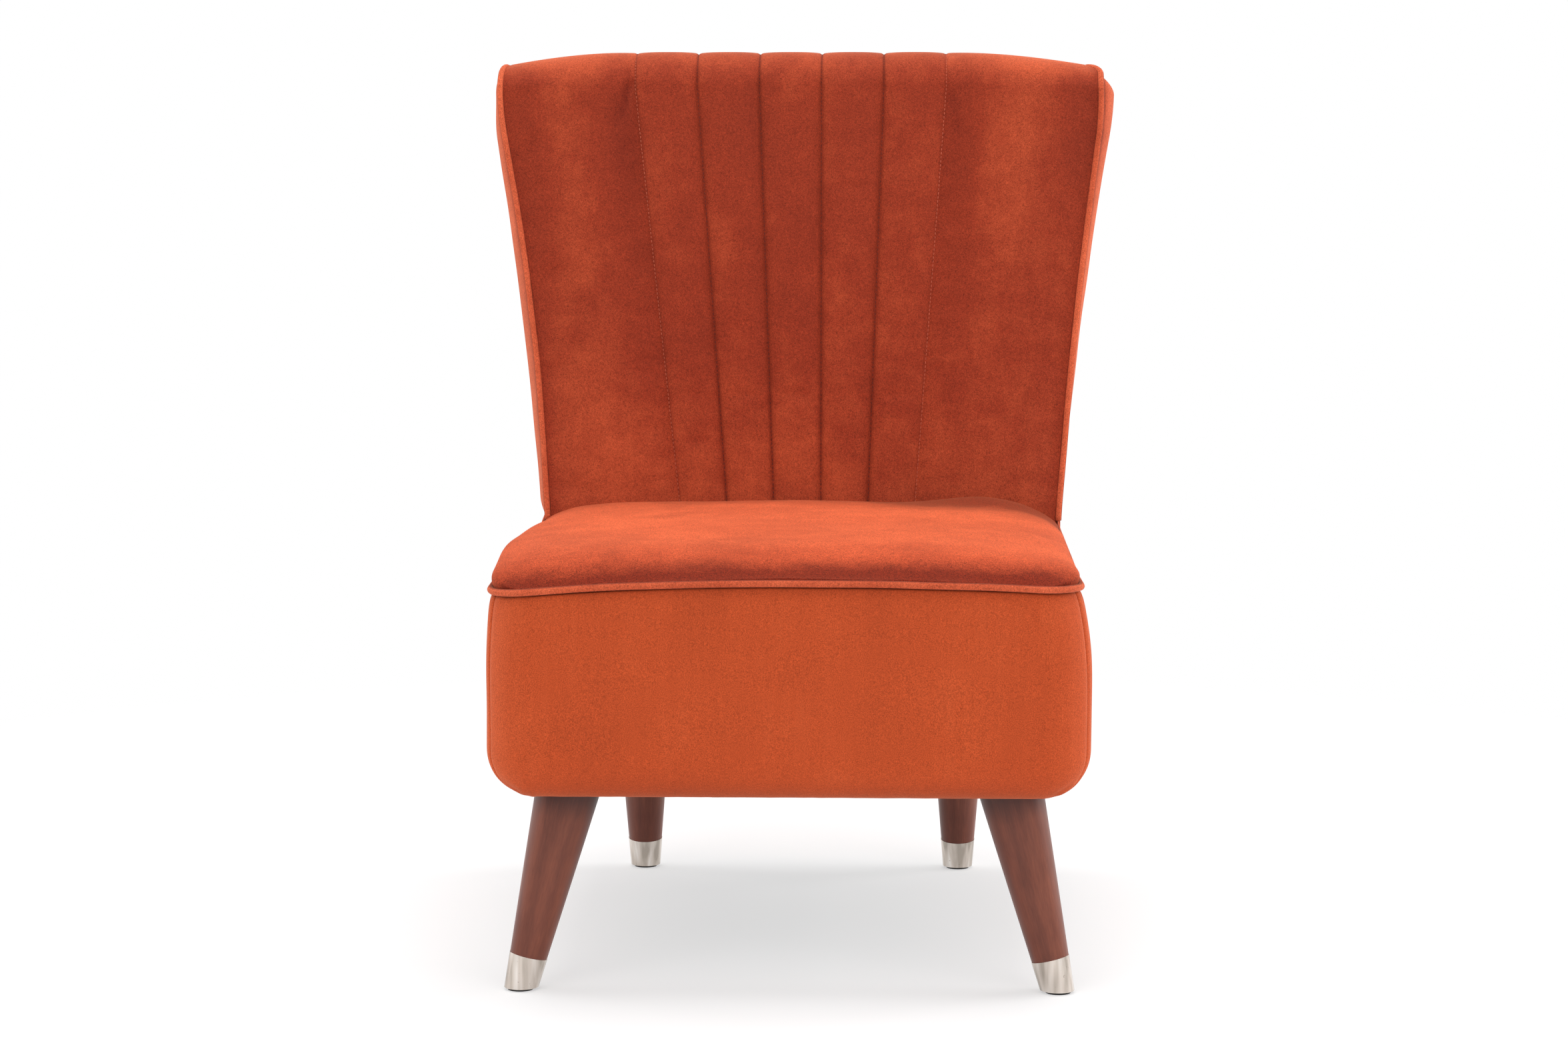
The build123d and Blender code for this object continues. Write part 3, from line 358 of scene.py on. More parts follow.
def halfWidth(run):
    run = np.asarray(run, float)
    high = np.clip(run, 0.0, chair["shoulderRun"])
    top = chair["topHalf"] - shoulderBend + np.sqrt(shoulderBend ** 2 - high ** 2)
    low = np.maximum(run, chair["shoulderRun"])
    flare = flareCentre[1] - np.sqrt(flareBend ** 2 - (low - flareCentre[0]) ** 2)
    return np.where(run < chair["shoulderRun"], top, flare)


def rollAngle(run):
    return np.clip(-np.asarray(run, float) / chair["rollRadius"], 0.0, rollTurn)


def rollShare(run):
    return np.sin(math.pi * rollAngle(run) / rollTurn)


def backPoints(x, run, depth):
    lean = chair["insideLean"]
    turn = lean + rollAngle(run)
    down = np.maximum(run, 0.0)
    y = chair["rollY"] - depth * np.cos(turn) - down * math.sin(lean)
    z = chair["rollZ"] + depth * np.sin(turn) - down * math.cos(lean)
    return np.stack(np.broadcast_arrays(x, y, z), -1)


def rearPoints(x, run, depth):
    lean = chair["outsideLean"]
    y = chair["rollY"] + depth * math.cos(lean) - run * math.sin(lean)
    z = chair["rollZ"] - depth * math.sin(lean) - run * math.cos(lean)
    return np.stack(np.broadcast_arrays(x, y, z), -1)


def frontRunAt(z, depth):
    lean = chair["insideLean"]
    return (chair["rollZ"] + depth * math.sin(lean) - z) / math.cos(lean)


def rearRunAt(z, depth):
    lean = chair["outsideLean"]
    return (chair["rollZ"] - depth * math.sin(lean) - z) / math.cos(lean)


def gridNormals(grid):
    across = np.gradient(grid, axis=1)
    along = np.gradient(grid, axis=0)
    normal = np.cross(across, along)
    return normal / np.maximum(np.linalg.norm(normal, axis=-1, keepdims=True), 1e-12)


def newObject(name, vertices, faces, material):
    mesh = bpy.data.meshes.new(name)
    mesh.from_pydata([tuple(v) for v in vertices], [], [tuple(f) for f in faces])
    mesh.update()
    made = bpy.data.objects.new(name, mesh)
    scene.collection.objects.link(made)
    made.data.materials.append(material)
    return made


def tidyMesh(made, merge=0.0, sharp=50):
    work = bmesh.new()
    work.from_mesh(made.data)
    if merge:
        bmesh.ops.remove_doubles(work, verts=work.verts, dist=merge)
    bmesh.ops.recalc_face_normals(work, faces=work.faces)
    work.to_mesh(made.data)
    work.free()
    made.data.polygons.foreach_set("use_smooth", [True] * len(made.data.polygons))
    made.data.set_sharp_from_angle(angle=math.radians(sharp))
    made.data.update()


def applyModifiers(made):
    bpy.context.view_layer.update()
    graph = bpy.context.evaluated_depsgraph_get()
    mesh = bpy.data.meshes.new_from_object(made.evaluated_get(graph))
    made.modifiers.clear()
    made.data = mesh


def refine(made):
    smoother = made.modifiers.new("refine", "SUBSURF")
    smoother.levels = smoother.render_levels = 1
    applyModifiers(made)


def thicken(made, thickness, offset):
    wall = made.modifiers.new("wall", "SOLIDIFY")
    wall.thickness, wall.offset = thickness, offset
    applyModifiers(made)
    tidyMesh(made)


def layNap(made, shades):      # painted shade and highlight that the velvet reads
    layer = made.data.attributes.new("nap", "FLOAT", "POINT")
    layer.data.foreach_set("value", np.ravel(shades).astype(np.float32))


def quads(rows, columns, start=0, flip=False):
    faces = []
    for r in range(rows - 1):
        for c in range(columns - 1):
            a = start + r * columns + c
            face = (a, a + 1, a + columns + 1, a + columns)
            faces.append(face[::-1] if flip else face)
    return faces


def ringQuads(start, rings, sides):
    faces = []
    for r in range(rings - 1):
        for k in range(sides):
            a, b = start + r * sides + k, start + r * sides + (k + 1) % sides
            faces.append((a, b, b + sides, a + sides))
    return faces


def spokes(side, up, sides):
    turns = [2 * math.pi * k / sides for k in range(sides)]
    return [math.cos(turn) * side + math.sin(turn) * up for turn in turns]


def gridRim(rows, columns):
    rim = [(0, c) for c in range(columns)] + [(r, columns - 1) for r in range(1, rows)]
    rim += [(rows - 1, c) for c in range(columns - 2, -1, -1)]
    rim += [(r, 0) for r in range(rows - 2, 0, -1)]
    return [r * columns + c for r, c in rim]


def closedShell(name, outer, inner, material, nap):
    rows, columns = outer.shape[:2]
    count = rows * columns
    faces = quads(rows, columns) + quads(rows, columns, count, True)
    rim = gridRim(rows, columns)
    for a, b in zip(rim, rim[1:] + rim[:1]):
        faces.append((a, a + count, b + count, b))
    vertices = np.concatenate([outer.reshape(-1, 3), inner.reshape(-1, 3)])
    made = newObject(name, vertices, faces, material)
    layNap(made, [nap, nap])
    tidyMesh(made)
    refine(made)
    tidyMesh(made)
    return made


clothLook = {"quality": 6, "mass": 0.25, "shearShare": 0.5, "airDamping": 4.0}


def settle(grid, pinned, look):
    rows, columns = grid.shape[:2]
    sheet = newObject("settling", grid.reshape(-1, 3), quads(rows, columns), plains["thread"])
    group = sheet.vertex_groups.new(name="sewn")
    for index, weight in enumerate(np.ravel(pinned)):
        if weight > 0.01:
            group.add([index], float(weight), "REPLACE")
    cloth = sheet.modifiers.new("cloth", "CLOTH")
    cloth.settings.quality = clothLook["quality"]
    cloth.settings.mass = clothLook["mass"]
    cloth.settings.tension_stiffness = cloth.settings.compression_stiffness = look["stiffness"]
    cloth.settings.shear_stiffness = look["stiffness"] * clothLook["shearShare"]
    cloth.settings.bending_stiffness = look["bending"]
    cloth.settings.air_damping = clothLook["airDamping"]
    cloth.settings.vertex_group_mass = "sewn"
    cloth.settings.use_pressure = True
    cloth.settings.uniform_pressure_force = look["pressure"]
    cloth.settings.shrink_min = -look["slack"]
    cloth.settings.effector_weights.gravity = 0.0
    cloth.collision_settings.use_collision = False
    cloth.point_cache.frame_start, cloth.point_cache.frame_end = 1, look["frames"]
    for step in range(1, look["frames"] + 1):
        scene.frame_set(step)
    graph = bpy.context.evaluated_depsgraph_get()
    settled = sheet.evaluated_get(graph).data
    places = np.empty(rows * columns * 3)
    settled.vertices.foreach_get("co", places)
    move = places.reshape(rows, columns, 3) - grid
    length = np.linalg.norm(move, axis=-1, keepdims=True)
    kept = look["cap"] * np.tanh(length / look["cap"])
    move = move * kept / np.maximum(length, 1e-9)
    for _ in range(look["calm"]):              # evens out what the cloth did
        wide = np.pad(move, ((1, 1), (1, 1), (0, 0)), mode="edge")
        move = (wide[:-2, 1:-1] + wide[2:, 1:-1] + wide[1:-1, :-2] + wide[1:-1, 2:] + 2 * move) / 6
        move = move * (1 - np.asarray(pinned)[..., None])
    scene.frame_set(1)
    mesh = sheet.data
    bpy.data.objects.remove(sheet)
    bpy.data.meshes.remove(mesh)
    most = round(float(length.max()) * 1000, 2)
    print("  settled", rows * columns, "points, moved at most", most, "mm")
    return grid + move


# lit is a painted highlight on the piping's face; the other two are painted shade beside its sewn seams
# and at its ends
piping = {"radius": 0.0034, "sides": 14, "lit": 0.35, "seamShadow": 2.0, "tipShade": -0.5}


def tube(name, path, outward):
    sides, radius = piping["sides"], piping["radius"]
    tangents = np.gradient(path, axis=0)
    tangents /= np.linalg.norm(tangents, axis=1, keepdims=True)
    side = np.cross(tangents[0], (0.31, 0.22, 0.92))
    vertices, shades = [], []
    for point, tangent, face in zip(path, tangents, outward):
        side = side - tangent * np.dot(side, tangent)
        side /= np.linalg.norm(side)
        for spoke in spokes(side, np.cross(tangent, side), sides):
            vertices.append(point + radius * spoke)
            # painted shade where the piping meets its seams, painted highlight on its face
            nearSeam = 1 - smoothStep((spoke @ face - 0.05) / 0.60)
            shades.append(piping["lit"] - piping["seamShadow"] * nearSeam)
    faces = ringQuads(0, len(path), sides)
    for ring, sign in ((0, -1), (len(path) - 1, 1)):
        tip = len(vertices)
        vertices.append(path[ring] + sign * tangents[ring] * radius * 0.5)
        shades.append(piping["tipShade"])
        for k in range(sides):
            faces.append((ring * sides + k, ring * sides + (k + 1) % sides, tip))
    made = newObject(name, vertices, faces, velvets["piping"])
    layNap(made, shades)
    tidyMesh(made, sharp=70)
    return made


def wobble(points, scale, amount, seed):
    flat = np.reshape(points, (-1, 3))
    shift = Vector((seed * 7.31, seed * 3.17, seed * 5.93))
    values = [noise.noise(Vector(p) * scale + shift) for p in flat]
    return amount * np.reshape(values, np.shape(points)[:-1])


def place(made, slot, *replaced, fill=None):
    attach(made, "root")
    if replaced:
        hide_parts(*replaced)
    return made


insideBack = {
    "channels": 5,
    "pitchTop": 0.0660,
    "pitchSeat": 0.0494,
    "leanTop": -0.0115,        # the sewn fan leans to one side
    "leanSeat": -0.0020,
    "seamDepth": 0.0412,       # panel face at a seam, from the roll's axis
    "puff": 0.0040,
    "pinch": 0.0023,           # narrow groove of a sewn seam
    "pinchWidth": 0.0013,
    "outerPinch": 0.7,         # the outermost seams are pinched less
    "overPinch": 0.35,         # and all of them less over the top
    "scallop": 0.0016,         # the channels' fall to their seams at the top
    "topDip": 0.0145,          # the top falls towards its corners
    "dive": 0.010,             # goes in under the outside back
    "underDepth": 0.030,       # hidden face
    "edgeGap": 0.0028,
    "cornerLean": (0.0030, 0.0140),
    "edgeRun": (0.0, 0.05, 0.11, 0.20, 0.30, 0.42),    # here the piped edges wander sideways
    "edgeWander": ((-0.0020, -0.0012, 0.0008, 0.0040, 0.0050, 0.0045),
                   (-0.0010, 0.0015, 0.0025, 0.0028, 0.0032, 0.0035)),
    "wingShade": ((0.20, 0.0, 0.42), (0.08, 0.32, 0.22)),    # painted highlight in the middle, more of it up high, painted shade at the edge
    "creases": (               # start and end as x and run, depth, width
        ((-0.181, -0.004), (-0.203, 0.060), 0.0034, 0.0038),
        ((-0.185, -0.018), (-0.190, 0.056), 0.0022, 0.0030),
        ((0.158, 0.010), (0.170, 0.060), 0.0008, 0.0045),
    ),
    "cloth": {"pressure": 1.2, "stiffness": 18, "bending": 0.6, "slack": 0.004,
              "frames": 12, "cap": 0.0012, "calm": 0},
}


def seamPlace(index, run):
    share = np.clip(np.asarray(run, float) / chair["seatRun"], 0.0, 1.1)
    pitch = insideBack["pitchTop"] + (insideBack["pitchSeat"] - insideBack["pitchTop"]) * share
    lean = insideBack["leanTop"] + (insideBack["leanSeat"] - insideBack["leanTop"]) * share
    return (index - insideBack["channels"] / 2) * pitch + lean


def edgeInset(run, side):                  # the corners lean in over the top
    turn = rollAngle(run)
    lean = ofSide(insideBack["cornerLean"], side) * smoothStep((turn - 0.45) / 1.1)
    return lean * (1 - smoothStep((turn - 1.75) / 1.1))


def edgeShift(run, side):
    wander = np.interp(run, insideBack["edgeRun"], ofSide(insideBack["edgeWander"], side))
    return wander * (1 - rollAngle(run) / rollTurn)


panelBottom = frontRunAt(chair["deck"] - 0.002, 0.044)
rollLength = chair["rollRadius"] * rollTurn
backRuns = np.concatenate([
    np.linspace(panelBottom, 0.0, 96, endpoint=False),
    np.linspace(0.0, -rollLength, 34),
])


def backColumns():
    columns = []
    for panel in range(insideBack["channels"] + 2):
        near = (0.0, 0.012, 0.026, 0.044, 0.075, 0.125, 0.20, 0.30, 0.40)
        if panel in (0, insideBack["channels"] + 1):
            near = (0.0, 0.005, 0.011, 0.020, 0.034, 0.055, 0.085,
                    0.12, 0.16, 0.21, 0.26, 0.32, 0.38, 0.44)
        columns += [(panel, t) for t in near + (0.5,) + tuple(1.0 - t for t in near[:0:-1])]
    return columns + [(insideBack["channels"] + 1, 1.0)]


def wingColumn(side, s, width, over):      # s is 0 at the piping and 1 at the seam
    look = insideBack
    if s < 0.30:
        rise = np.clip(1 - (1 - s / 0.30) ** 2, 0, 1)
    else:
        rise = 1 - 0.9 * max(0, (s - 0.50) / 0.50) ** 2
    groove = look["pinch"] * look["outerPinch"] * bell((1.0 - s) * width, 0, look["pinchWidth"])
    top = chair["rollRadius"] - look["topDip"] * (1.0 - s) ** 1.9 - 0.0012 * s ** 6
    high = bell(np.maximum(backRuns, 0), 0.08, 0.11)
    bright, more, dim = ofSide(look["wingShade"], side)
    # painted light: lighter in the middle and over the rolled top, painted shade along the piping and
    # the seam
    shade = (bright + more * high) * bell(s, 0.45, 0.28) - 0.30 * bell(s, 0, 0.06)
    shade = shade - high * (dim * bell(s, 0.14, 0.13) + 0.50 * bell(s, 0.90, 0.20))
    return look["puff"] * 1.1 * rise, groove, top, shade + 1.05 * over


def channelColumn(panel, t, width, over):
    look = insideBack
    u = abs(2 * t - 1)                     # 0 on the crown and 1 at the seams
    toSeam = np.minimum(t, 1 - t) * width
    atWing = (panel == 1 and t < 0.5) or (panel == look["channels"] and t > 0.5)
    pinch = look["pinch"] * (look["outerPinch"] if atWing else 1.0)
    groove = pinch * bell(toSeam, 0, look["pinchWidth"])
    top = chair["rollRadius"] - look["scallop"] * u ** 3.2
    # painted shade: each channel darker towards its right seam and at the seam, painted highlight over
    # the rolled top
    shade = 0.04 - 0.10 * (2 * t - 1) - 0.40 * bell(toSeam.mean(), 0, 0.0012)
    return look["puff"] * (1 - u ** 4.6), groove, top, shade + 0.34 * over


def makeInsideBack():
    look, last = insideBack, insideBack["channels"] + 1
    columns, runs = backColumns(), backRuns[:, None]
    half = halfWidth(np.maximum(backRuns, 0)) - look["edgeGap"]
    leftEdge = edgeShift(backRuns, -1) - (half - edgeInset(backRuns, -1))
    rightEdge = edgeShift(backRuns, 1) + (half - edgeInset(backRuns, 1))
    over = rollShare(backRuns)
    diving = smoothStep((rollAngle(backRuns) - rollTurn + 0.35) / 0.35)
    # painted bounce light: the lower back is lighter
    lowLight = 0.30 * smoothStep((backRuns - 0.24) / 0.20)
    x = np.empty((len(backRuns), len(columns)))
    depth, nap, pinned = np.empty_like(x), np.empty_like(x), np.zeros_like(x)
    for c, (panel, t) in enumerate(columns):
        left = leftEdge if panel == 0 else seamPlace(panel - 1, backRuns)
        right = rightEdge if panel == last else seamPlace(panel, backRuns)
        width = right - left
        if panel in (0, last):
            side, s = (-1, t) if panel == 0 else (1, 1.0 - t)
            crown, groove, top, shade = wingColumn(side, s, width, over)
            dive, sewn = look["dive"] * smoothStep(s / 0.12), s in (0.0, 1.0)
        else:
            crown, groove, top, shade = channelColumn(panel, t, width, over)
            dive, sewn = look["dive"], t == 0.0
        face = look["seamDepth"] + crown - dive * diving
        x[:, c] = left + width * t
        depth[:, c] = face + (top - face) * over - groove * (1 - look["overPinch"] * over)
        nap[:, c] = shade + lowLight
        pinned[:, c] = sewn
    pinned[0, :] = pinned[-1, :] = 1.0
    for start, end, sink, wide in look["creases"]:
        line = np.array(end) - start
        rel = np.stack([x - start[0], runs - start[1] + 0 * x], -1)
        along = np.clip(rel @ line / (line @ line), 0, 1)
        away = np.linalg.norm(rel - along[..., None] * line, axis=-1)
        fold = bell(away, 0, wide) * (1 - along) ** 0.6
        depth -= sink * fold
        # painted shade along the creases
        nap -= 0.45 * fold
    outer = settle(backPoints(x, runs, depth), pinned, look["cloth"])
    under = look["underDepth"] - look["topDip"] * rollShare(runs) * 0.4
    inner = backPoints(x * 0.985, runs, under)
    made = closedShell("insideBack", outer, inner, velvets["back"], nap)
    return place(made, "velvet", "inside_back_panel", "back_foam", "back_roll_foam", fill=0.9)


makeInsideBack()
print("stage: inside back")


def edgeDepth(run):
    return chair["pipingDepth"] - chair["pipingDip"] * rollShare(run)


backPiping = {"foot": 0.3978, "step": 0.004, "overStep": 0.7, "tail": (0.004, 0.024)}


def makeBackPiping(name, side, node):
    look = backPiping
    down = np.arange(frontRunAt(look["foot"], chair["pipingDepth"]), 0.0, -look["step"])
    over = np.arange(0.0, -rollLength, -look["step"] * look["overStep"])
    runs = np.concatenate([down, over, [-rollLength]])
    x = side * (halfWidth(np.maximum(runs, 0)) - edgeInset(runs, side)) + edgeShift(runs, side)
    path = backPoints(x, runs, edgeDepth(runs))
    path[:, 0] += wobble(path, 14, 0.0006, 3 + side)
    tail = np.linspace(*look["tail"], 6)                 # ends under the outside back
    end = rearPoints(x[-1] - side * tail * 0.3, tail, chair["pipingDepth"] - tail * 0.45)
    turn = chair["insideLean"] + rollAngle(np.concatenate([runs, np.full(len(tail), -rollLength)]))
    outward = np.stack([0 * turn, -np.cos(turn), np.sin(turn)], -1)
    made = tube(name, np.concatenate([path, end]), outward)
    return place(made, "velvet", node)


for side, hand in hands:
    makeBackPiping(hand + "BackPiping", side, hand + "_back_piping")

boxing = {
    "puffTop": (0.0125, 0.0140),     # left and right
    "puffCrest": (0.75, 1.0),        # share of it at the rolled top
    "puffSeat": 0.0070,
    "proud": 0.001,
    "tuck": (0.003, 0.0004),         # sewn in behind the piping, and at the rear
    "frontDepth": 0.0376,            # its sewn edges, from the roll's axis
    "rearDepth": 0.0374,
    "underPiping": 0.0028,
    "below": 0.0115,                 # reaches down behind the seat piping
    "round": 1.8,
    "roundTop": (2.7, 1.8),          # left and right
    "gather": 0.00025,               # fine ripples along the sewn edge
    "ripples": 260,
    "thickness": 0.003,
    "rows": 120,
    "rollRows": 44,
    "steps": 12,
}


def makeBoxing(name, side, *replaced):
    look = boxing
    foot = chair["deck"] - look["below"]
    frontRuns = np.linspace(frontRunAt(foot, chair["rearDepth"]), 0.0, look["rows"], endpoint=False)
    rollRuns = np.linspace(0.0, -rollLength, look["rollRows"])
    rearRuns = np.linspace(0.0, rearRunAt(foot, chair["rearDepth"]), look["rows"])[1:]
    ring = np.concatenate([
        backPoints(0.0, frontRuns, look["frontDepth"]),
        backPoints(0.0, rollRuns, edgeDepth(rollRuns) - look["underPiping"]),
        rearPoints(0.0, rearRuns, look["rearDepth"]),
    ])
    order, rollStart, rollEnd = np.arange(len(ring)), len(frontRuns), len(frontRuns) + len(rollRuns)
    rollPart = slice(rollStart, rollEnd)
    downSpine = np.array((-math.sin(spineLean), -math.cos(spineLean)))
    length = np.maximum((chair["rollZ"] - ring[:, 2]) / math.cos(spineLean), 0.0)
    length[rollPart] = 0.0
    spine = np.zeros_like(ring)
    spine[:, 1:] = (chair["rollY"], chair["rollZ"]) + length[:, None] * downSpine
    share = np.clip(length / chair["seatRun"], 0, 1)
    full, crest = ofSide(look["puffTop"], side), ofSide(look["puffCrest"], side)
    puff = full + (look["puffSeat"] - full) * share ** 0.8
    puff = puff * (crest + (1 - crest) * smoothStep(length / 0.05))
    low = 1 - smoothStep((ring[:, 2] - chair["deck"] + look["below"]) / 0.035)
    puff = puff - (puff + 0.002) * low
    edge = halfWidth(length) + look["proud"]
    edge[rollPart] -= edgeInset(rollRuns, side)
    puff[rollPart] += edgeInset(rollRuns, side)
    shift = np.concatenate([edgeShift(frontRuns, side), edgeShift(rollRuns, side), 0 * rearRuns])
    edge, puff = edge + side * shift, puff - side * shift
    tuck = np.interp(order, (rollStart, rollEnd), look["tuck"])
    bow = np.full(len(ring), look["round"])
    bow[rollPart] = ofSide(look["roundTop"], side)
    bow = np.convolve(np.pad(bow, 12, mode="edge"), np.full(25, 1 / 25), mode="valid")
    stations = 1 - (1 - np.linspace(0, 1, look["steps"])) ** 1.15
    grid = np.empty((len(ring), len(stations), 3))
    for c, s in enumerate(stations):
        grid[:, c] = ring + (spine - ring) * s
        grid[:, c, 0] = side * (edge - tuck + (puff + tuck) * (1 - (1 - s) ** bow))
    ripple = np.sin(np.linspace(0, 1, len(ring)) * look["ripples"])[:, None]
    grid[..., 0] += side * look["gather"] * (ripple * bell(stations, 0.06, 0.10))
    grid[..., 0] += side * wobble(grid, 16, 0.0008, 11 + side)
    made = newObject(name, grid.reshape(-1, 3), quads(*grid.shape[:2]), velvets["boxing"])
    # painted shade along the sewn edges, strongest beside the front piping
    seamShadow = np.interp(order, (0, rollStart, rollEnd), (2.4, 2.0, 0.7))
    layNap(made, 0.45 - seamShadow[:, None] * bell(stations, 0, 0.21))
    tidyMesh(made, merge=0.0002)
    thicken(made, look["thickness"], -1.0)
    return place(made, "velvet", *replaced, fill=0.85)


for side, hand in hands:
    makeBoxing(hand + "Boxing", side, hand + "_boxing", hand + "_boxing_pad")
print("stage: boxing and back piping")

outsideBack = {
    "depth": 0.046,
    "under": 0.0364,
    "edgeRound": 0.012,
    "edgeFall": 0.0075,
    "fullness": 0.0016,
    "waistTop": 0.3974,
    "waistBottom": 0.3814,
    "bandHalf": 0.281,
    "cornerRadius": 0.046,
    "topRadius": 0.008,
    "topRun": 0.03,            # closer rows down to here
    "overlap": 0.006,          # lies this far up over the rolled top
}


def outsideHalf(z):
    look, radius = outsideBack, outsideBack["cornerRadius"]
    upper = halfWidth(np.maximum((chair["rollZ"] - z) / math.cos(spineLean), 0.0)) + 0.001
    fall = np.clip(chair["bandBottom"] + radius - z, 0, radius)
    lower = look["bandHalf"] - (radius - np.sqrt(np.maximum(radius ** 2 - fall ** 2, 0)))
    share = smoothStep((look["waistTop"] - z) / (look["waistTop"] - look["waistBottom"]))
    return upper + (lower - upper) * share


def makeOutsideBack():
    look = outsideBack
    bottom = rearRunAt(chair["bandBottom"], look["depth"])
    high = np.linspace(0, 1, 12, endpoint=False) ** 1.6 * look["topRun"] - look["overlap"]
    cornerTop = bottom - look["cornerRadius"]
    middle = np.linspace(look["topRun"] - look["overlap"], cornerTop, 98, endpoint=False)
    low = bottom - look["cornerRadius"] * np.sin(np.linspace(0, math.pi / 2, 14)[::-1])
    runs = np.concatenate([high, middle, low])
    flat = rearPoints(0.0, runs, look["depth"])
    half = outsideHalf(np.maximum(flat[:, 2], chair["bandBottom"]))
    drop = np.clip(look["topRadius"] - look["overlap"] - runs, 0, look["topRadius"])
    half = half - look["topRadius"] + np.sqrt(look["topRadius"] ** 2 - drop ** 2)
    stations = np.sin(np.linspace(-1, 1, 61) * math.pi / 2)
    stations = np.sign(stations) * np.abs(stations) ** 0.92
    x = half[:, None] * stations[None, :]
    toSide = half[:, None] - np.abs(x)
    toBottom = np.broadcast_to((bottom - runs)[:, None], x.shape)
    toTop = np.broadcast_to((runs + look["overlap"])[:, None], x.shape)
    toEdge = np.minimum(np.minimum(toSide, toBottom), toTop)
    fall = look["edgeFall"] * (1 - np.sqrt(1 - (1 - np.clip(toEdge / look["edgeRound"], 0, 1)) ** 2))
    depth = look["depth"] - fall + look["fullness"] * smoothStep(toEdge / 0.12)
    depth = depth + wobble(rearPoints(x, runs[:, None], depth), 6, 0.0007, 23)
    outer = rearPoints(x, runs[:, None], depth)
    inner = rearPoints(x * 0.996, runs[:, None], look["under"])
    # painted shade along the sides
    nap = 0.25 - 0.5 * bell(toSide, 0, 0.02)
    made = closedShell("outsideBack", outer, inner, velvets["boxing"], nap)
    return place(made, "velvet", "outside_back_cover", "outside_back_wadding", fill=0.9)


makeOutsideBack()
print("stage: outside back")

seatEdge = {
    "height": 0.3934,          # middle of the seat piping
    "half": 0.2715,            # and at the sides
    "leftMore": 0.0060,        # the left side is drawn in less
    "middle": 0.0020,          # the front rises here
    "corners": (-0.0100, -0.0045),     # left and right
    "side": -0.0092,           # the sides run lower, under the boxing
    "rear": -0.0012,
}


def edgeHalf(side, ahead):
    more = seatEdge["leftMore"] if side < 0 else 0.0
    return seatEdge["half"] + more * (1 - smoothStep((ahead - 0.24) / 0.18))


def edgeLift(x, ahead):
    share = np.clip(np.abs(x) / seatEdge["half"], 0, 1) ** 2.2
    corner = np.where(x < 0, *seatEdge["corners"])
    front = seatEdge["middle"] + (corner - seatEdge["middle"]) * share
    side = seatEdge["side"] + (seatEdge["rear"] - seatEdge["side"]) * smoothStep((ahead - 0.50) / 0.10)
    return front + (side - front) * smoothStep((ahead - 0.02) / 0.15)


seatTop = {
    "edgeGap": 0.0032,
    "frontGap": 0.0084,
    "cornerRadius": 0.0406,
    "rise": 0.0262,
    "rear": 0.4900,            # pressed a little into the inside back
    "nearRows": (0, 1.2, 2.6, 4.4, 6.6, 9.2, 12.2, 15.6, 19.6, 24.2, 29.6, 36, 43.5, 52, 62),    # mm
    "frontRun": (0, 0.007, 0.016, 0.030, 0.052, 0.090, 0.180, 0.320, 0.490),
    "frontShare": (0.08, 0.32, 0.54, 0.74, 0.88, 0.965, 1.0, 0.98, 0.93),
    "sideStation": (0, 0.02, 0.04, 0.07, 0.11, 0.17, 0.26, 0.40, 0.60, 1.0),
    "sideOut": (0, 0.0026, 0.0038, 0.0030, -0.0020, -0.0130, -0.0360, -0.0850, -0.1500, -0.2671),
    "sideShare": (0.03, 0.14, 0.28, 0.40, 0.52, 0.65, 0.80, 0.92, 0.975, 1.0),
    "rearFold": (0.195, 0.055, 0.0075),          # middle, width and height of the fold at the rear
    "leftFull": (0.20, 0.13, 0.0045, 0.0060),    # place and length of the fuller left side, out and up
    "rearFall": 0.0065,                          # the rear corners lie lower
    "cloth": {"pressure": 1.5, "stiffness": 15, "bending": 0.8, "slack": 0.006,
              "frames": 14, "cap": 0.0025, "calm": 10},
}


def smoothTable(value, places, shares):
    fine = np.linspace(0, places[-1], 400)
    curve = np.interp(fine, places, shares)
    kernel = np.hanning(15) / np.hanning(15).sum()
    for _ in range(3):
        curve = np.convolve(np.pad(curve, 7, mode="edge"), kernel, mode="valid")
    return np.interp(value, fine, curve)


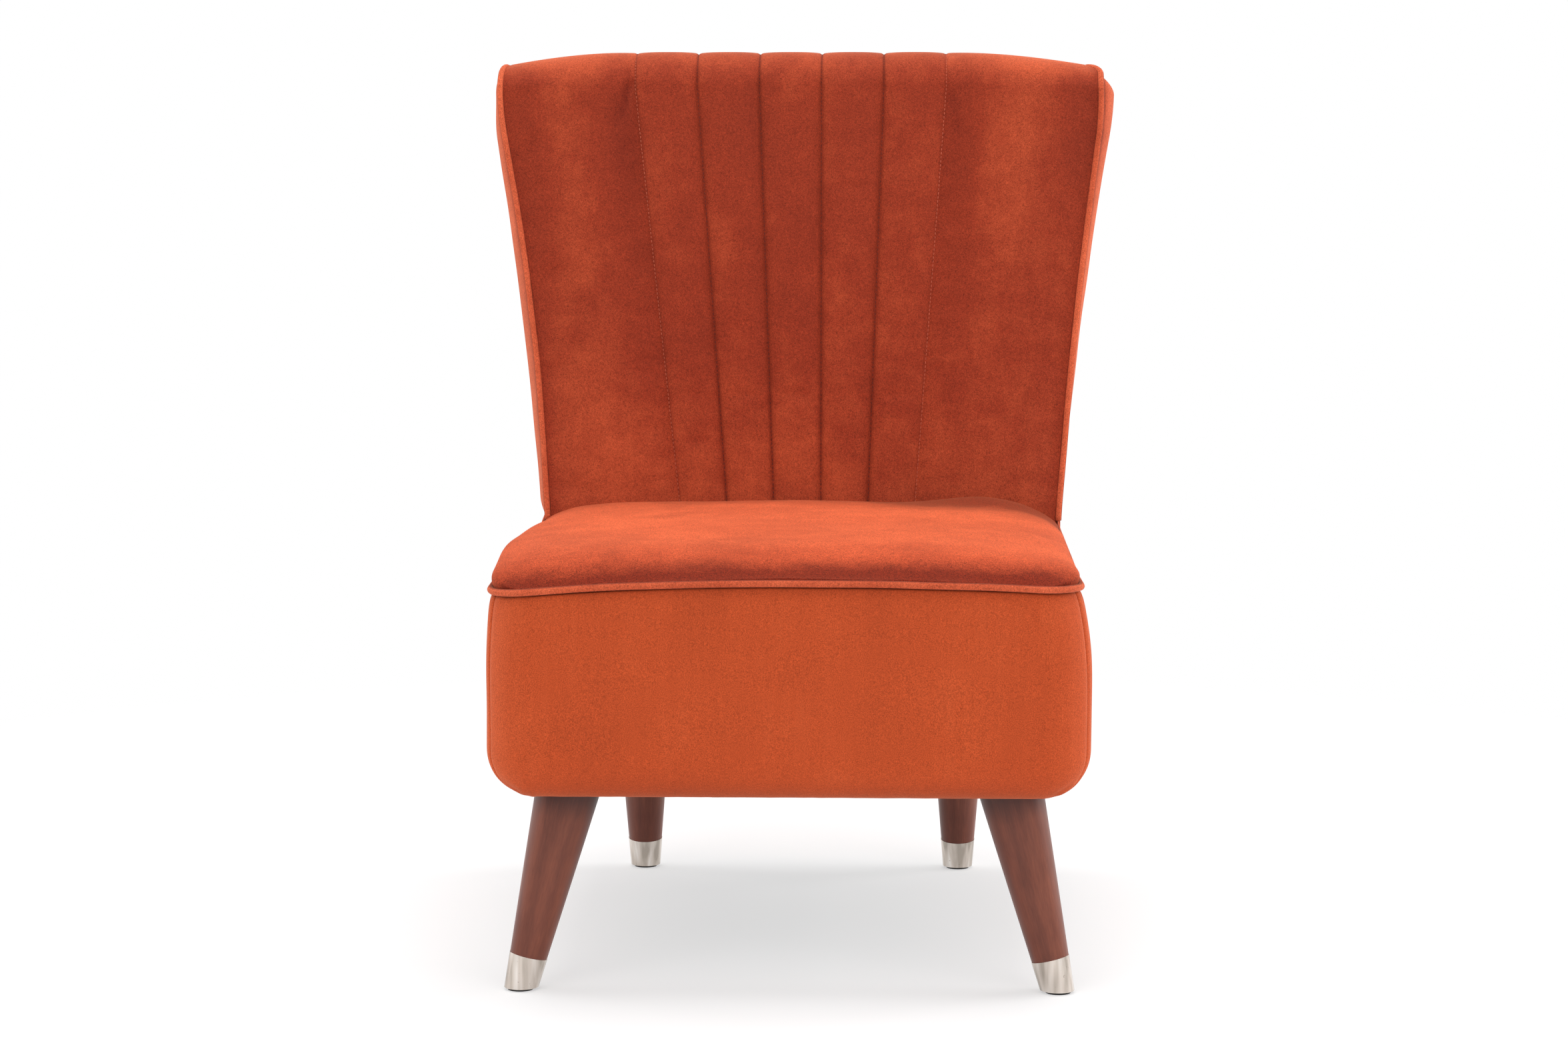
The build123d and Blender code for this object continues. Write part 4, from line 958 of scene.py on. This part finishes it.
def makeSeatTop():
    look = seatTop
    deep = look["rear"] - look["frontGap"]
    ahead = np.concatenate([
        np.array(look["nearRows"]) / 1000, np.linspace(0.072, deep - 0.012, 38), [deep - 0.006, deep]])
    bend = np.clip(look["cornerRadius"] - ahead, 0, look["cornerRadius"])
    cut = look["edgeGap"] + look["cornerRadius"] - np.sqrt(look["cornerRadius"] ** 2 - bend ** 2)
    across = np.linspace(-1, 1, 97)
    inward, sign = 1 - np.abs(across), np.sign(across)
    half = np.where(sign < 0, *((edgeHalf(side, ahead) - cut)[:, None] for side in (-1, 1)))
    out = smoothTable(inward, look["sideStation"], look["sideOut"])
    out = out - out[0] * np.exp(-inward / 0.02)
    bulge = np.maximum(out, 0)[None, :] * smoothStep((ahead - 0.010) / 0.05)[:, None]
    reach = -look["sideOut"][-1]
    x = sign * ((reach + np.minimum(out, 0)) / reach * half + bulge)
    middle, length, fullOut, fullUp = look["leftFull"]
    full = bell(ahead[:, None], middle, length) * (sign < 0)
    x = x - fullOut * full * bell(inward, 0, 0.12) * smoothStep(inward / 0.03)
    rows = ahead[:, None] + 0 * x
    crown = smoothTable(rows, look["frontRun"], look["frontShare"]) * smoothTable(
        inward, look["sideStation"], look["sideShare"])[None, :]
    edge = seatEdge["height"]
    low = edge + edgeLift(sign * half, rows) * (1 - inward) + edgeLift(x, 0 * rows) * inward
    z = low + (edge + look["rise"] - low) * crown
    y = chair["front"] + look["frontGap"] + rows
    z += fullUp * full * bell(inward, 0, 0.18) * smoothStep(inward / 0.05)
    atRear = smoothStep((rows - 0.33) / 0.14)
    z -= look["rearFall"] * atRear * bell(inward, 0, 0.16) * smoothStep(inward / 0.03)
    middle, width, height = look["rearFold"]
    z += height * bell(x, middle, width) * smoothStep((rows - deep + 0.07) / 0.06)
    z[-1, :] -= 0.004
    pinned = np.zeros_like(x)
    pinned[0, :] = pinned[-1, :] = pinned[:, 0] = pinned[:, -1] = 1.0
    outer = settle(np.stack([x, y, z], -1), pinned, look["cloth"])
    outer[..., 2] += wobble(outer * (1, 1, 0), 9, 0.0012, 31) * (1 - pinned)
    inner = np.stack([x * 0.99, y, np.full_like(x, chair["deck"] - 0.004)], -1)
    # painted light: lighter on top, painted shade on the front slope, at the rear against the back and
    # at the right rear fold
    nap = 0.35 * smoothStep((rows - 0.03) / 0.10) - 1.25 * bell(rows, 0, 0.027)
    nap = nap - 0.75 * smoothStep((rows - deep + 0.09) / 0.08)
    nap = nap - 1.3 * smoothStep((x - 0.05) / 0.11) * smoothStep((rows - deep + 0.16) / 0.14)
    made = closedShell("seatTop", outer, inner, velvets["seat"], nap)
    return place(made, "velvet", "seat_top_cover", "seat_foam", fill=0.9)


makeSeatTop()
print("stage: seat top")


def rearAtHeight(z):           # where the seat ends, from the front of its band
    depth, lean = chair["rearDepth"], chair["outsideLean"]
    rear = chair["rollY"] + depth * math.cos(lean) - rearRunAt(z, depth) * math.sin(lean)
    return rear - chair["front"]


seatPiping = {"ahead": 0.005, "cornerRadius": 0.045, "rearGap": 0.004, "step": 0.006}


def pipingSide(side):
    look = seatPiping
    start, radius = look["ahead"], look["cornerRadius"]
    rear = rearAtHeight(seatEdge["height"]) - look["rearGap"]
    plan = [(side * edgeHalf(side, ahead), ahead)
            for ahead in np.arange(rear, start + radius, -look["step"])]
    reach = edgeHalf(side, 0.0) - radius
    for angle in np.linspace(0, math.pi / 2, 18):
        plan.append((side * (reach + radius * math.cos(angle)), start + radius * (1 - math.sin(angle))))
    return plan


def makeSeatPiping():
    look = seatPiping
    left, right = pipingSide(-1), pipingSide(1)
    front = [(x, look["ahead"]) for x in np.linspace(left[-1][0], right[-1][0], 78)[1:-1]]
    plan = np.array(left + front + right[::-1])
    z = seatEdge["height"] + edgeLift(plan[:, 0], plan[:, 1])
    path = np.stack([plan[:, 0], chair["front"] + plan[:, 1], z], -1)
    path[:, 2] += wobble(path, 12, 0.0007, 41)
    forward = np.clip((plan[:, 1] - look["ahead"]) / look["cornerRadius"] - 1, -1, 0)
    outward = np.stack([np.sign(plan[:, 0]) * np.sqrt(1 - forward ** 2), forward, 0 * z], -1)
    made = tube("seatPiping", path, outward)
    return place(made, "velvet", "seat_piping")


makeSeatPiping()

band = {
    "half": 0.283,
    "cornerRadius": 0.050,
    "underRadius": 0.046,
    "top": 0.3890,
    "full": 0.290,
    "drawIn": 0.004,
    "turnUnder": 0.018,
    "seamBehind": 0.030,
    "seamTuck": (0.0007, 0.0016),      # left and right
    "seamWidth": 0.0028,
    "underPiping": 0.0012,
    "rearTuck": 0.0014,
    "gather": 0.0015,                  # along the bottom, most at the corners
    "pucker": 0.0011,                  # under the piping
    "ripples": (190, 18),              # per metre, along and up
    "thickness": 0.004,
}
seamTurn = math.asin(1 - band["seamBehind"] / band["cornerRadius"])


def bandProfile():                         # share drawn in, inset and height
    top, full, radius = band["top"], band["full"], band["underRadius"]
    rows = [(1.0, 0.0030, top + 0.0012)]
    for z in np.linspace(top - 0.0015, full, 26):
        share = (z - full) / (top - full)
        rows.append((share ** 2, 0.0022 * math.exp(-((top - z) / 0.006)), z))
    bendTop = chair["bandBottom"] + radius
    rows += [(0.0, 0.0, z) for z in np.linspace(full, bendTop, 12)[1:-1]]
    for angle in np.linspace(0, math.pi / 2, 16):
        rows.append((0.0, radius * (1 - math.cos(angle)), bendTop - radius * math.sin(angle)))
    return rows + [(0.0, radius + d, chair["bandBottom"]) for d in (0.006, 0.012, band["turnUnder"])]


def bandPoint(kind, side, value, drawn, inset, z):
    front = inset + band["drawIn"] * drawn
    rear = rearAtHeight(z) + band["rearTuck"]
    radius = max(band["cornerRadius"] - inset, 0.002)
    ahead = rear + (front + radius - rear) * value if kind == "side" else 0.0
    hand = side or math.copysign(1, value)
    drawIn = band["half"] - edgeHalf(hand, ahead) - band["underPiping"]
    half = band["half"] - inset - drawIn * drawn
    if kind == "side":
        return side * half, ahead
    if kind == "corner":
        x = side * (half - radius + radius * math.cos(value))
        return x, front + radius - radius * math.sin(value)
    return value * (half - radius), front


def makeBand(name, columns, replaced, seams, seed):
    profile = bandProfile()
    grid = np.empty((len(profile), len(columns), 3))
    for r, (drawn, inset, z) in enumerate(profile):
        for c, (kind, side, value) in enumerate(columns):
            x, ahead = bandPoint(kind, side, value, drawn, inset, z)
            grid[r, c] = (x, chair["front"] + ahead, z)
    high = smoothStep((grid[..., 2] - 0.31) / 0.075)
    grid[..., 2] += edgeLift(grid[..., 0], grid[..., 1] - chair["front"]) * high
    normals = gridNormals(grid)
    normals *= np.sign(np.sum(normals * (grid - (0, 0, 0.3)), axis=-1).mean())
    x, ahead, z = grid[..., 0], grid[..., 1] - chair["front"], grid[..., 2]
    nearCorner = np.exp(-(((np.abs(x) - 0.262) / 0.03) ** 2 + ((ahead - 0.02) / 0.05) ** 2))
    nearBottom = bell(z, 0.196, 0.010)
    around = np.where(np.abs(x) > 0.25, ahead * np.sign(x), x)
    fine, tall = band["ripples"]
    ripple = np.array([[noise.noise(Vector((a * fine, h * tall, seed))) for a, h in zip(*row)]
                       for row in zip(around, z)])
    gathers = band["gather"] * ripple * nearBottom * (0.30 + nearCorner + 0.6 * nearCorner * (x < 0))
    puckers = band["pucker"] * ripple * bell(z, band["top"], 0.018) * (0.2 + nearCorner)
    soft = wobble(grid, 7, 0.0014, seed) + wobble(grid, 20, 0.0004, seed + 1)
    edgeFade = smoothStep((band["top"] - z) / 0.02) * smoothStep((z - 0.19) / 0.02)
    move = gathers + puckers + soft * edgeFade
    for column in seams:
        reach = np.linalg.norm(grid - grid[:, [column]], axis=-1)
        tuck = ofSide(band["seamTuck"], grid[0, column, 0])
        move = move - tuck * bell(reach, 0, band["seamWidth"])
    outer = grid + normals * move[..., None]
    inner = outer - normals * band["thickness"]
    # painted light: lighter at the band's side ends, painted shade under the piping and along the bottom
    # edge
    nap = 0.30 * bell(np.abs(x), band["half"], 0.03) - 0.30 * bell(z, band["top"], 0.006)
    nap = nap - 0.25 * nearBottom
    made = closedShell(name, outer, inner, velvets["band"], nap)
    return place(made, "velvet", *replaced, fill=0.85)


def cornerColumns(side, start, end, count):
    return [("corner", side, a) for a in np.linspace(start, end, count)]


def makeBands():
    frontColumns = cornerColumns(-1, seamTurn, math.pi / 2, 14)[:-1]
    frontColumns += [("front", 0, v) for v in np.linspace(-1, 1, 72)]
    frontColumns += cornerColumns(1, math.pi / 2, seamTurn, 14)[1:]
    makeBand("frontBand", frontColumns, ("front_band", "front_band_pad"), (0, -1), 51)
    for side, hand in hands:
        sideColumns = [("side", side, v) for v in np.linspace(0, 1, 66)]
        sideColumns += cornerColumns(side, 0.0, seamTurn, 8)[1:]
        makeBand(hand + "Band", sideColumns, (hand + "_band", hand + "_band_pad"), (-1,), 57 + side)


makeBands()
print("stage: seat band and piping")

stitching = {"length": 0.0027, "pitch": 0.0043, "radius": 0.00045, "sides": 6}
stitchSwell = ((0.0, 0.45), (0.2, 0.9), (0.5, 1.0), (0.8, 0.9), (1.0, 0.45))    # along it, of its radius
outerSeams = (0, insideBack["channels"])
innerSeams = range(1, insideBack["channels"])


def stitchMesh(name, spans, material):
    sides, vertices, faces = stitching["sides"], [], []
    for start, end in spans:
        axis = (end - start) / np.linalg.norm(end - start)
        side = np.cross(axis, (0.0, 0.0, 1.0) if abs(axis[2]) < 0.9 else (1.0, 0.0, 0.0))
        side /= np.linalg.norm(side)
        first = len(vertices)
        for share, swell in stitchSwell:
            centre = start + (end - start) * share
            for spoke in spokes(side, np.cross(axis, side), sides):
                vertices.append(centre + stitching["radius"] * swell * spoke)
        faces += ringQuads(first, len(stitchSwell), sides)
        faces.append(tuple(range(first, first + sides))[::-1])
        faces.append(tuple(range(len(vertices) - sides, len(vertices))))
    made = newObject(name, vertices, faces, material)
    tidyMesh(made)
    return made


def makeChannelStitches(name, seams, depthShift, material):
    spans = []
    for seam in seams:
        pinch = insideBack["pinch"] * (insideBack["outerPinch"] if seam in outerSeams else 1.0)
        face = insideBack["seamDepth"] - pinch
        top = chair["rollRadius"] - insideBack["scallop"] - pinch * (1 - insideBack["overPinch"])
        run = panelBottom - 0.030
        while run > -chair["rollRadius"] * 2.3:
            ends = np.array([run, run - stitching["length"]])
            depth = face + (top - face) * rollShare(ends) + depthShift
            spans.append(backPoints(seamPlace(seam, ends), ends, depth))
            run -= stitching["pitch"]
    made = stitchMesh(name, spans, material)
    return place(made, "velvet")


makeChannelStitches("outerSeamStitches", outerSeams, 0.0006, plains["thread"])
makeChannelStitches("innerSeamStitches", innerSeams, 0.0003, plains["innerThread"])
print("stage: stitches")

dustCloth = {"half": 0.229, "front": 0.054, "rearGap": 0.008, "height": 0.1876, "sag": 0.0022,
             "hole": 0.033, "thickness": 0.0008, "step": 0.006}
legs = {                       # x and distance from the band's front, at the foot and at the top
    "front": ((0.254, 0.060), (0.209, 0.076)),
    "rear": ((0.1705, 0.6162), (0.170, 0.5922)),
}
legTop = 0.190


def makeDustCloth():
    look = dustCloth
    rear = rearAtHeight(chair["bandBottom"]) - look["rearGap"]
    columns = int(2 * look["half"] / look["step"]) + 1
    rows = int((rear - look["front"]) / look["step"]) + 1
    span = rear - look["front"]
    x = np.linspace(-look["half"], look["half"], columns)[None, :]
    ahead = np.linspace(look["front"], rear, rows)[:, None]
    hang = np.sin((ahead - look["front"]) / span * math.pi)
    sag = look["sag"] * np.cos(x / look["half"] * math.pi / 2) * hang
    grid = np.stack(np.broadcast_arrays(x, ahead + chair["front"], look["height"] - sag), -1)
    work = bmesh.new()
    points = [work.verts.new(p) for p in grid.reshape(-1, 3)]
    for face in quads(rows, columns):
        work.faces.new([points[i] for i in face])
    for _, (legX, legAhead) in legs.values():
        for side, _ in hands:
            centre = Vector((side * legX, chair["front"] + legAhead, 0))
            cut = [f for f in work.faces
                   if (f.calc_center_median().xy - centre.xy).length < look["hole"]]
            rim = {v for f in cut for v in f.verts}
            bmesh.ops.delete(work, geom=cut, context="FACES")
            for v in rim:
                if v.is_valid and v.link_faces:
                    away = (v.co.xy - centre.xy).normalized() * look["hole"]
                    v.co.x, v.co.y = centre.x + away.x, centre.y + away.y
    made = newObject("dustCloth", [], [], plains["dust_cloth"])
    work.to_mesh(made.data)
    area = sum(f.calc_area() for f in work.faces)
    work.free()
    thicken(made, look["thickness"], 0.0)
    place(made, "dust_cloth", "dust_cover")
    return made


makeDustCloth()
print("stage: dust cloth")

def paint(name, material):
    node = nodes[name]
    node.data.materials.clear()
    node.data.materials.append(material)


def paintNodes():
    metal = nickel("nickel", nickelLook)
    for pair, ends in legs.items():
        for side, hand in hands:
            key = pair + "_" + hand
            foot, top = ((side * x, ahead + chair["front"], z)
                         for (x, ahead), z in zip(ends, (0.0, legTop)))
            paint(key + "_leg", walnut("walnut_" + key, foot, top, walnutLook))
            paint(key + "_ferrule", metal)
            paint(key + "_glide", plains["glide"])
    for name in nodes:
        if name.endswith(("_rail", "_post", "_corner_block", "_dowels")):
            paint(name, plains["frame_wood"])
        elif name.endswith(("_bolts", "_nuts")):
            paint(name, plains["steel"])
        elif "webbing" in name:
            paint(name, plains["webbing"])
        elif name.endswith("_board"):
            paint(name, plains["fibreboard"])


paintNodes()
print("stage: CAD nodes painted")

studio = {
    "floorColour": rgba(0.90, 0.90, 0.90),
    "floorReach": 9,
    "aim": (0, 0, 0.45),                        # the lamps look here
    "worldLight": 0.68,
    "lamps": (                                  # place, size, watts
        ((-1.7, -3.2, 2.5), 2.2, 32),
        ((2.1, -2.9, 1.7), 2.2, 24),
        ((0.0, 0.1, 3.3), 2.4, 62),
        ((-2.5, 0.5, 1.2), 1.6, 17),
        ((2.5, 0.5, 1.2), 1.6, 35),
    ),
}


def seenWhite(tree):           # the camera, metal and glass see a white ground
    camera, glossy, through = (
        Sock.make(tree, "LightPath", output=key)
        for key in ("Is Camera Ray", "Is Glossy Ray", "Is Transmission Ray"))
    seen = camera.calc("MAXIMUM", camera, glossy)
    return seen.calc("MAXIMUM", seen, through)


def makeStudio():
    r = studio["floorReach"]
    material, tree, surface = blankMaterial("floor", {
        "Base Color": studio["floorColour"], "Roughness": 0.9, "Specular IOR Level": 0.1})
    place = Sock.make(tree, "TexCoord", output="Object")
    away = Sock.make(tree, "VectorMath", {"operation": "LENGTH"}, {0: place}, "Value")
    fade = rampOf(tree, away * 0.5, [(0.30, rgba(0.5, 0.5, 0.5)), (0.80, rgba(1, 1, 1))])
    white = Sock.make(tree, "Emission", {}, {"Color": rgba(1, 1, 1), "Strength": 1.0})
    mixed = Sock.make(tree, "MixShader", {}, {
        0: fade * seenWhite(tree), 1: Sock(tree, surface.outputs[0]), 2: white})
    tree.links.new(mixed.socket, tree.nodes["Material Output"].inputs["Surface"])
    corners = [(-r, -r, 0), (r, -r, 0), (r, r, 0), (-r, r, 0)]
    floor = newObject("floor", corners, [(0, 1, 2, 3)], material)
    world = bpy.data.worlds.new("studio")
    scene.world = world
    world.use_nodes = True
    tree = world.node_tree
    strength = studio["worldLight"] + seenWhite(tree) * (1.0 - studio["worldLight"])
    background = tree.nodes["Background"]
    background.inputs["Color"].default_value = rgba(1, 1, 1)
    tree.links.new(strength.socket, background.inputs["Strength"])
    for index, (spot, size, watts) in enumerate(studio["lamps"]):
        lamp = bpy.data.lights.new("lamp" + str(index), "AREA")
        lamp.shape, lamp.size, lamp.energy = "SQUARE", size, watts
        holder = bpy.data.objects.new("lamp" + str(index), lamp)
        holder.location = spot
        aim = Vector(studio["aim"]) - Vector(spot)
        holder.rotation_euler = aim.to_track_quat("-Z", "Y").to_euler()
        scene.collection.objects.link(holder)


cameraLook = {"x": 0.085, "ahead": -3.3603, "z": 0.8552, "pitch": 6.83, "yaw": 1.50, "lens": 85.0}


def makeCamera():
    data = bpy.data.cameras.new("camera")
    data.lens, data.sensor_width = cameraLook["lens"], 36.0
    data.dof.use_dof = False
    camera = bpy.data.objects.new("camera", data)
    camera.location = (cameraLook["x"], chair["front"] + cameraLook["ahead"], cameraLook["z"])
    turns = (90 - cameraLook["pitch"], 0.0, cameraLook["yaw"])
    camera.rotation_euler = [math.radians(turn) for turn in turns]
    scene.collection.objects.link(camera)
    scene.camera = camera


makeStudio()
makeCamera()
scene.view_settings.view_transform = "Standard"
print("stage: studio and camera")
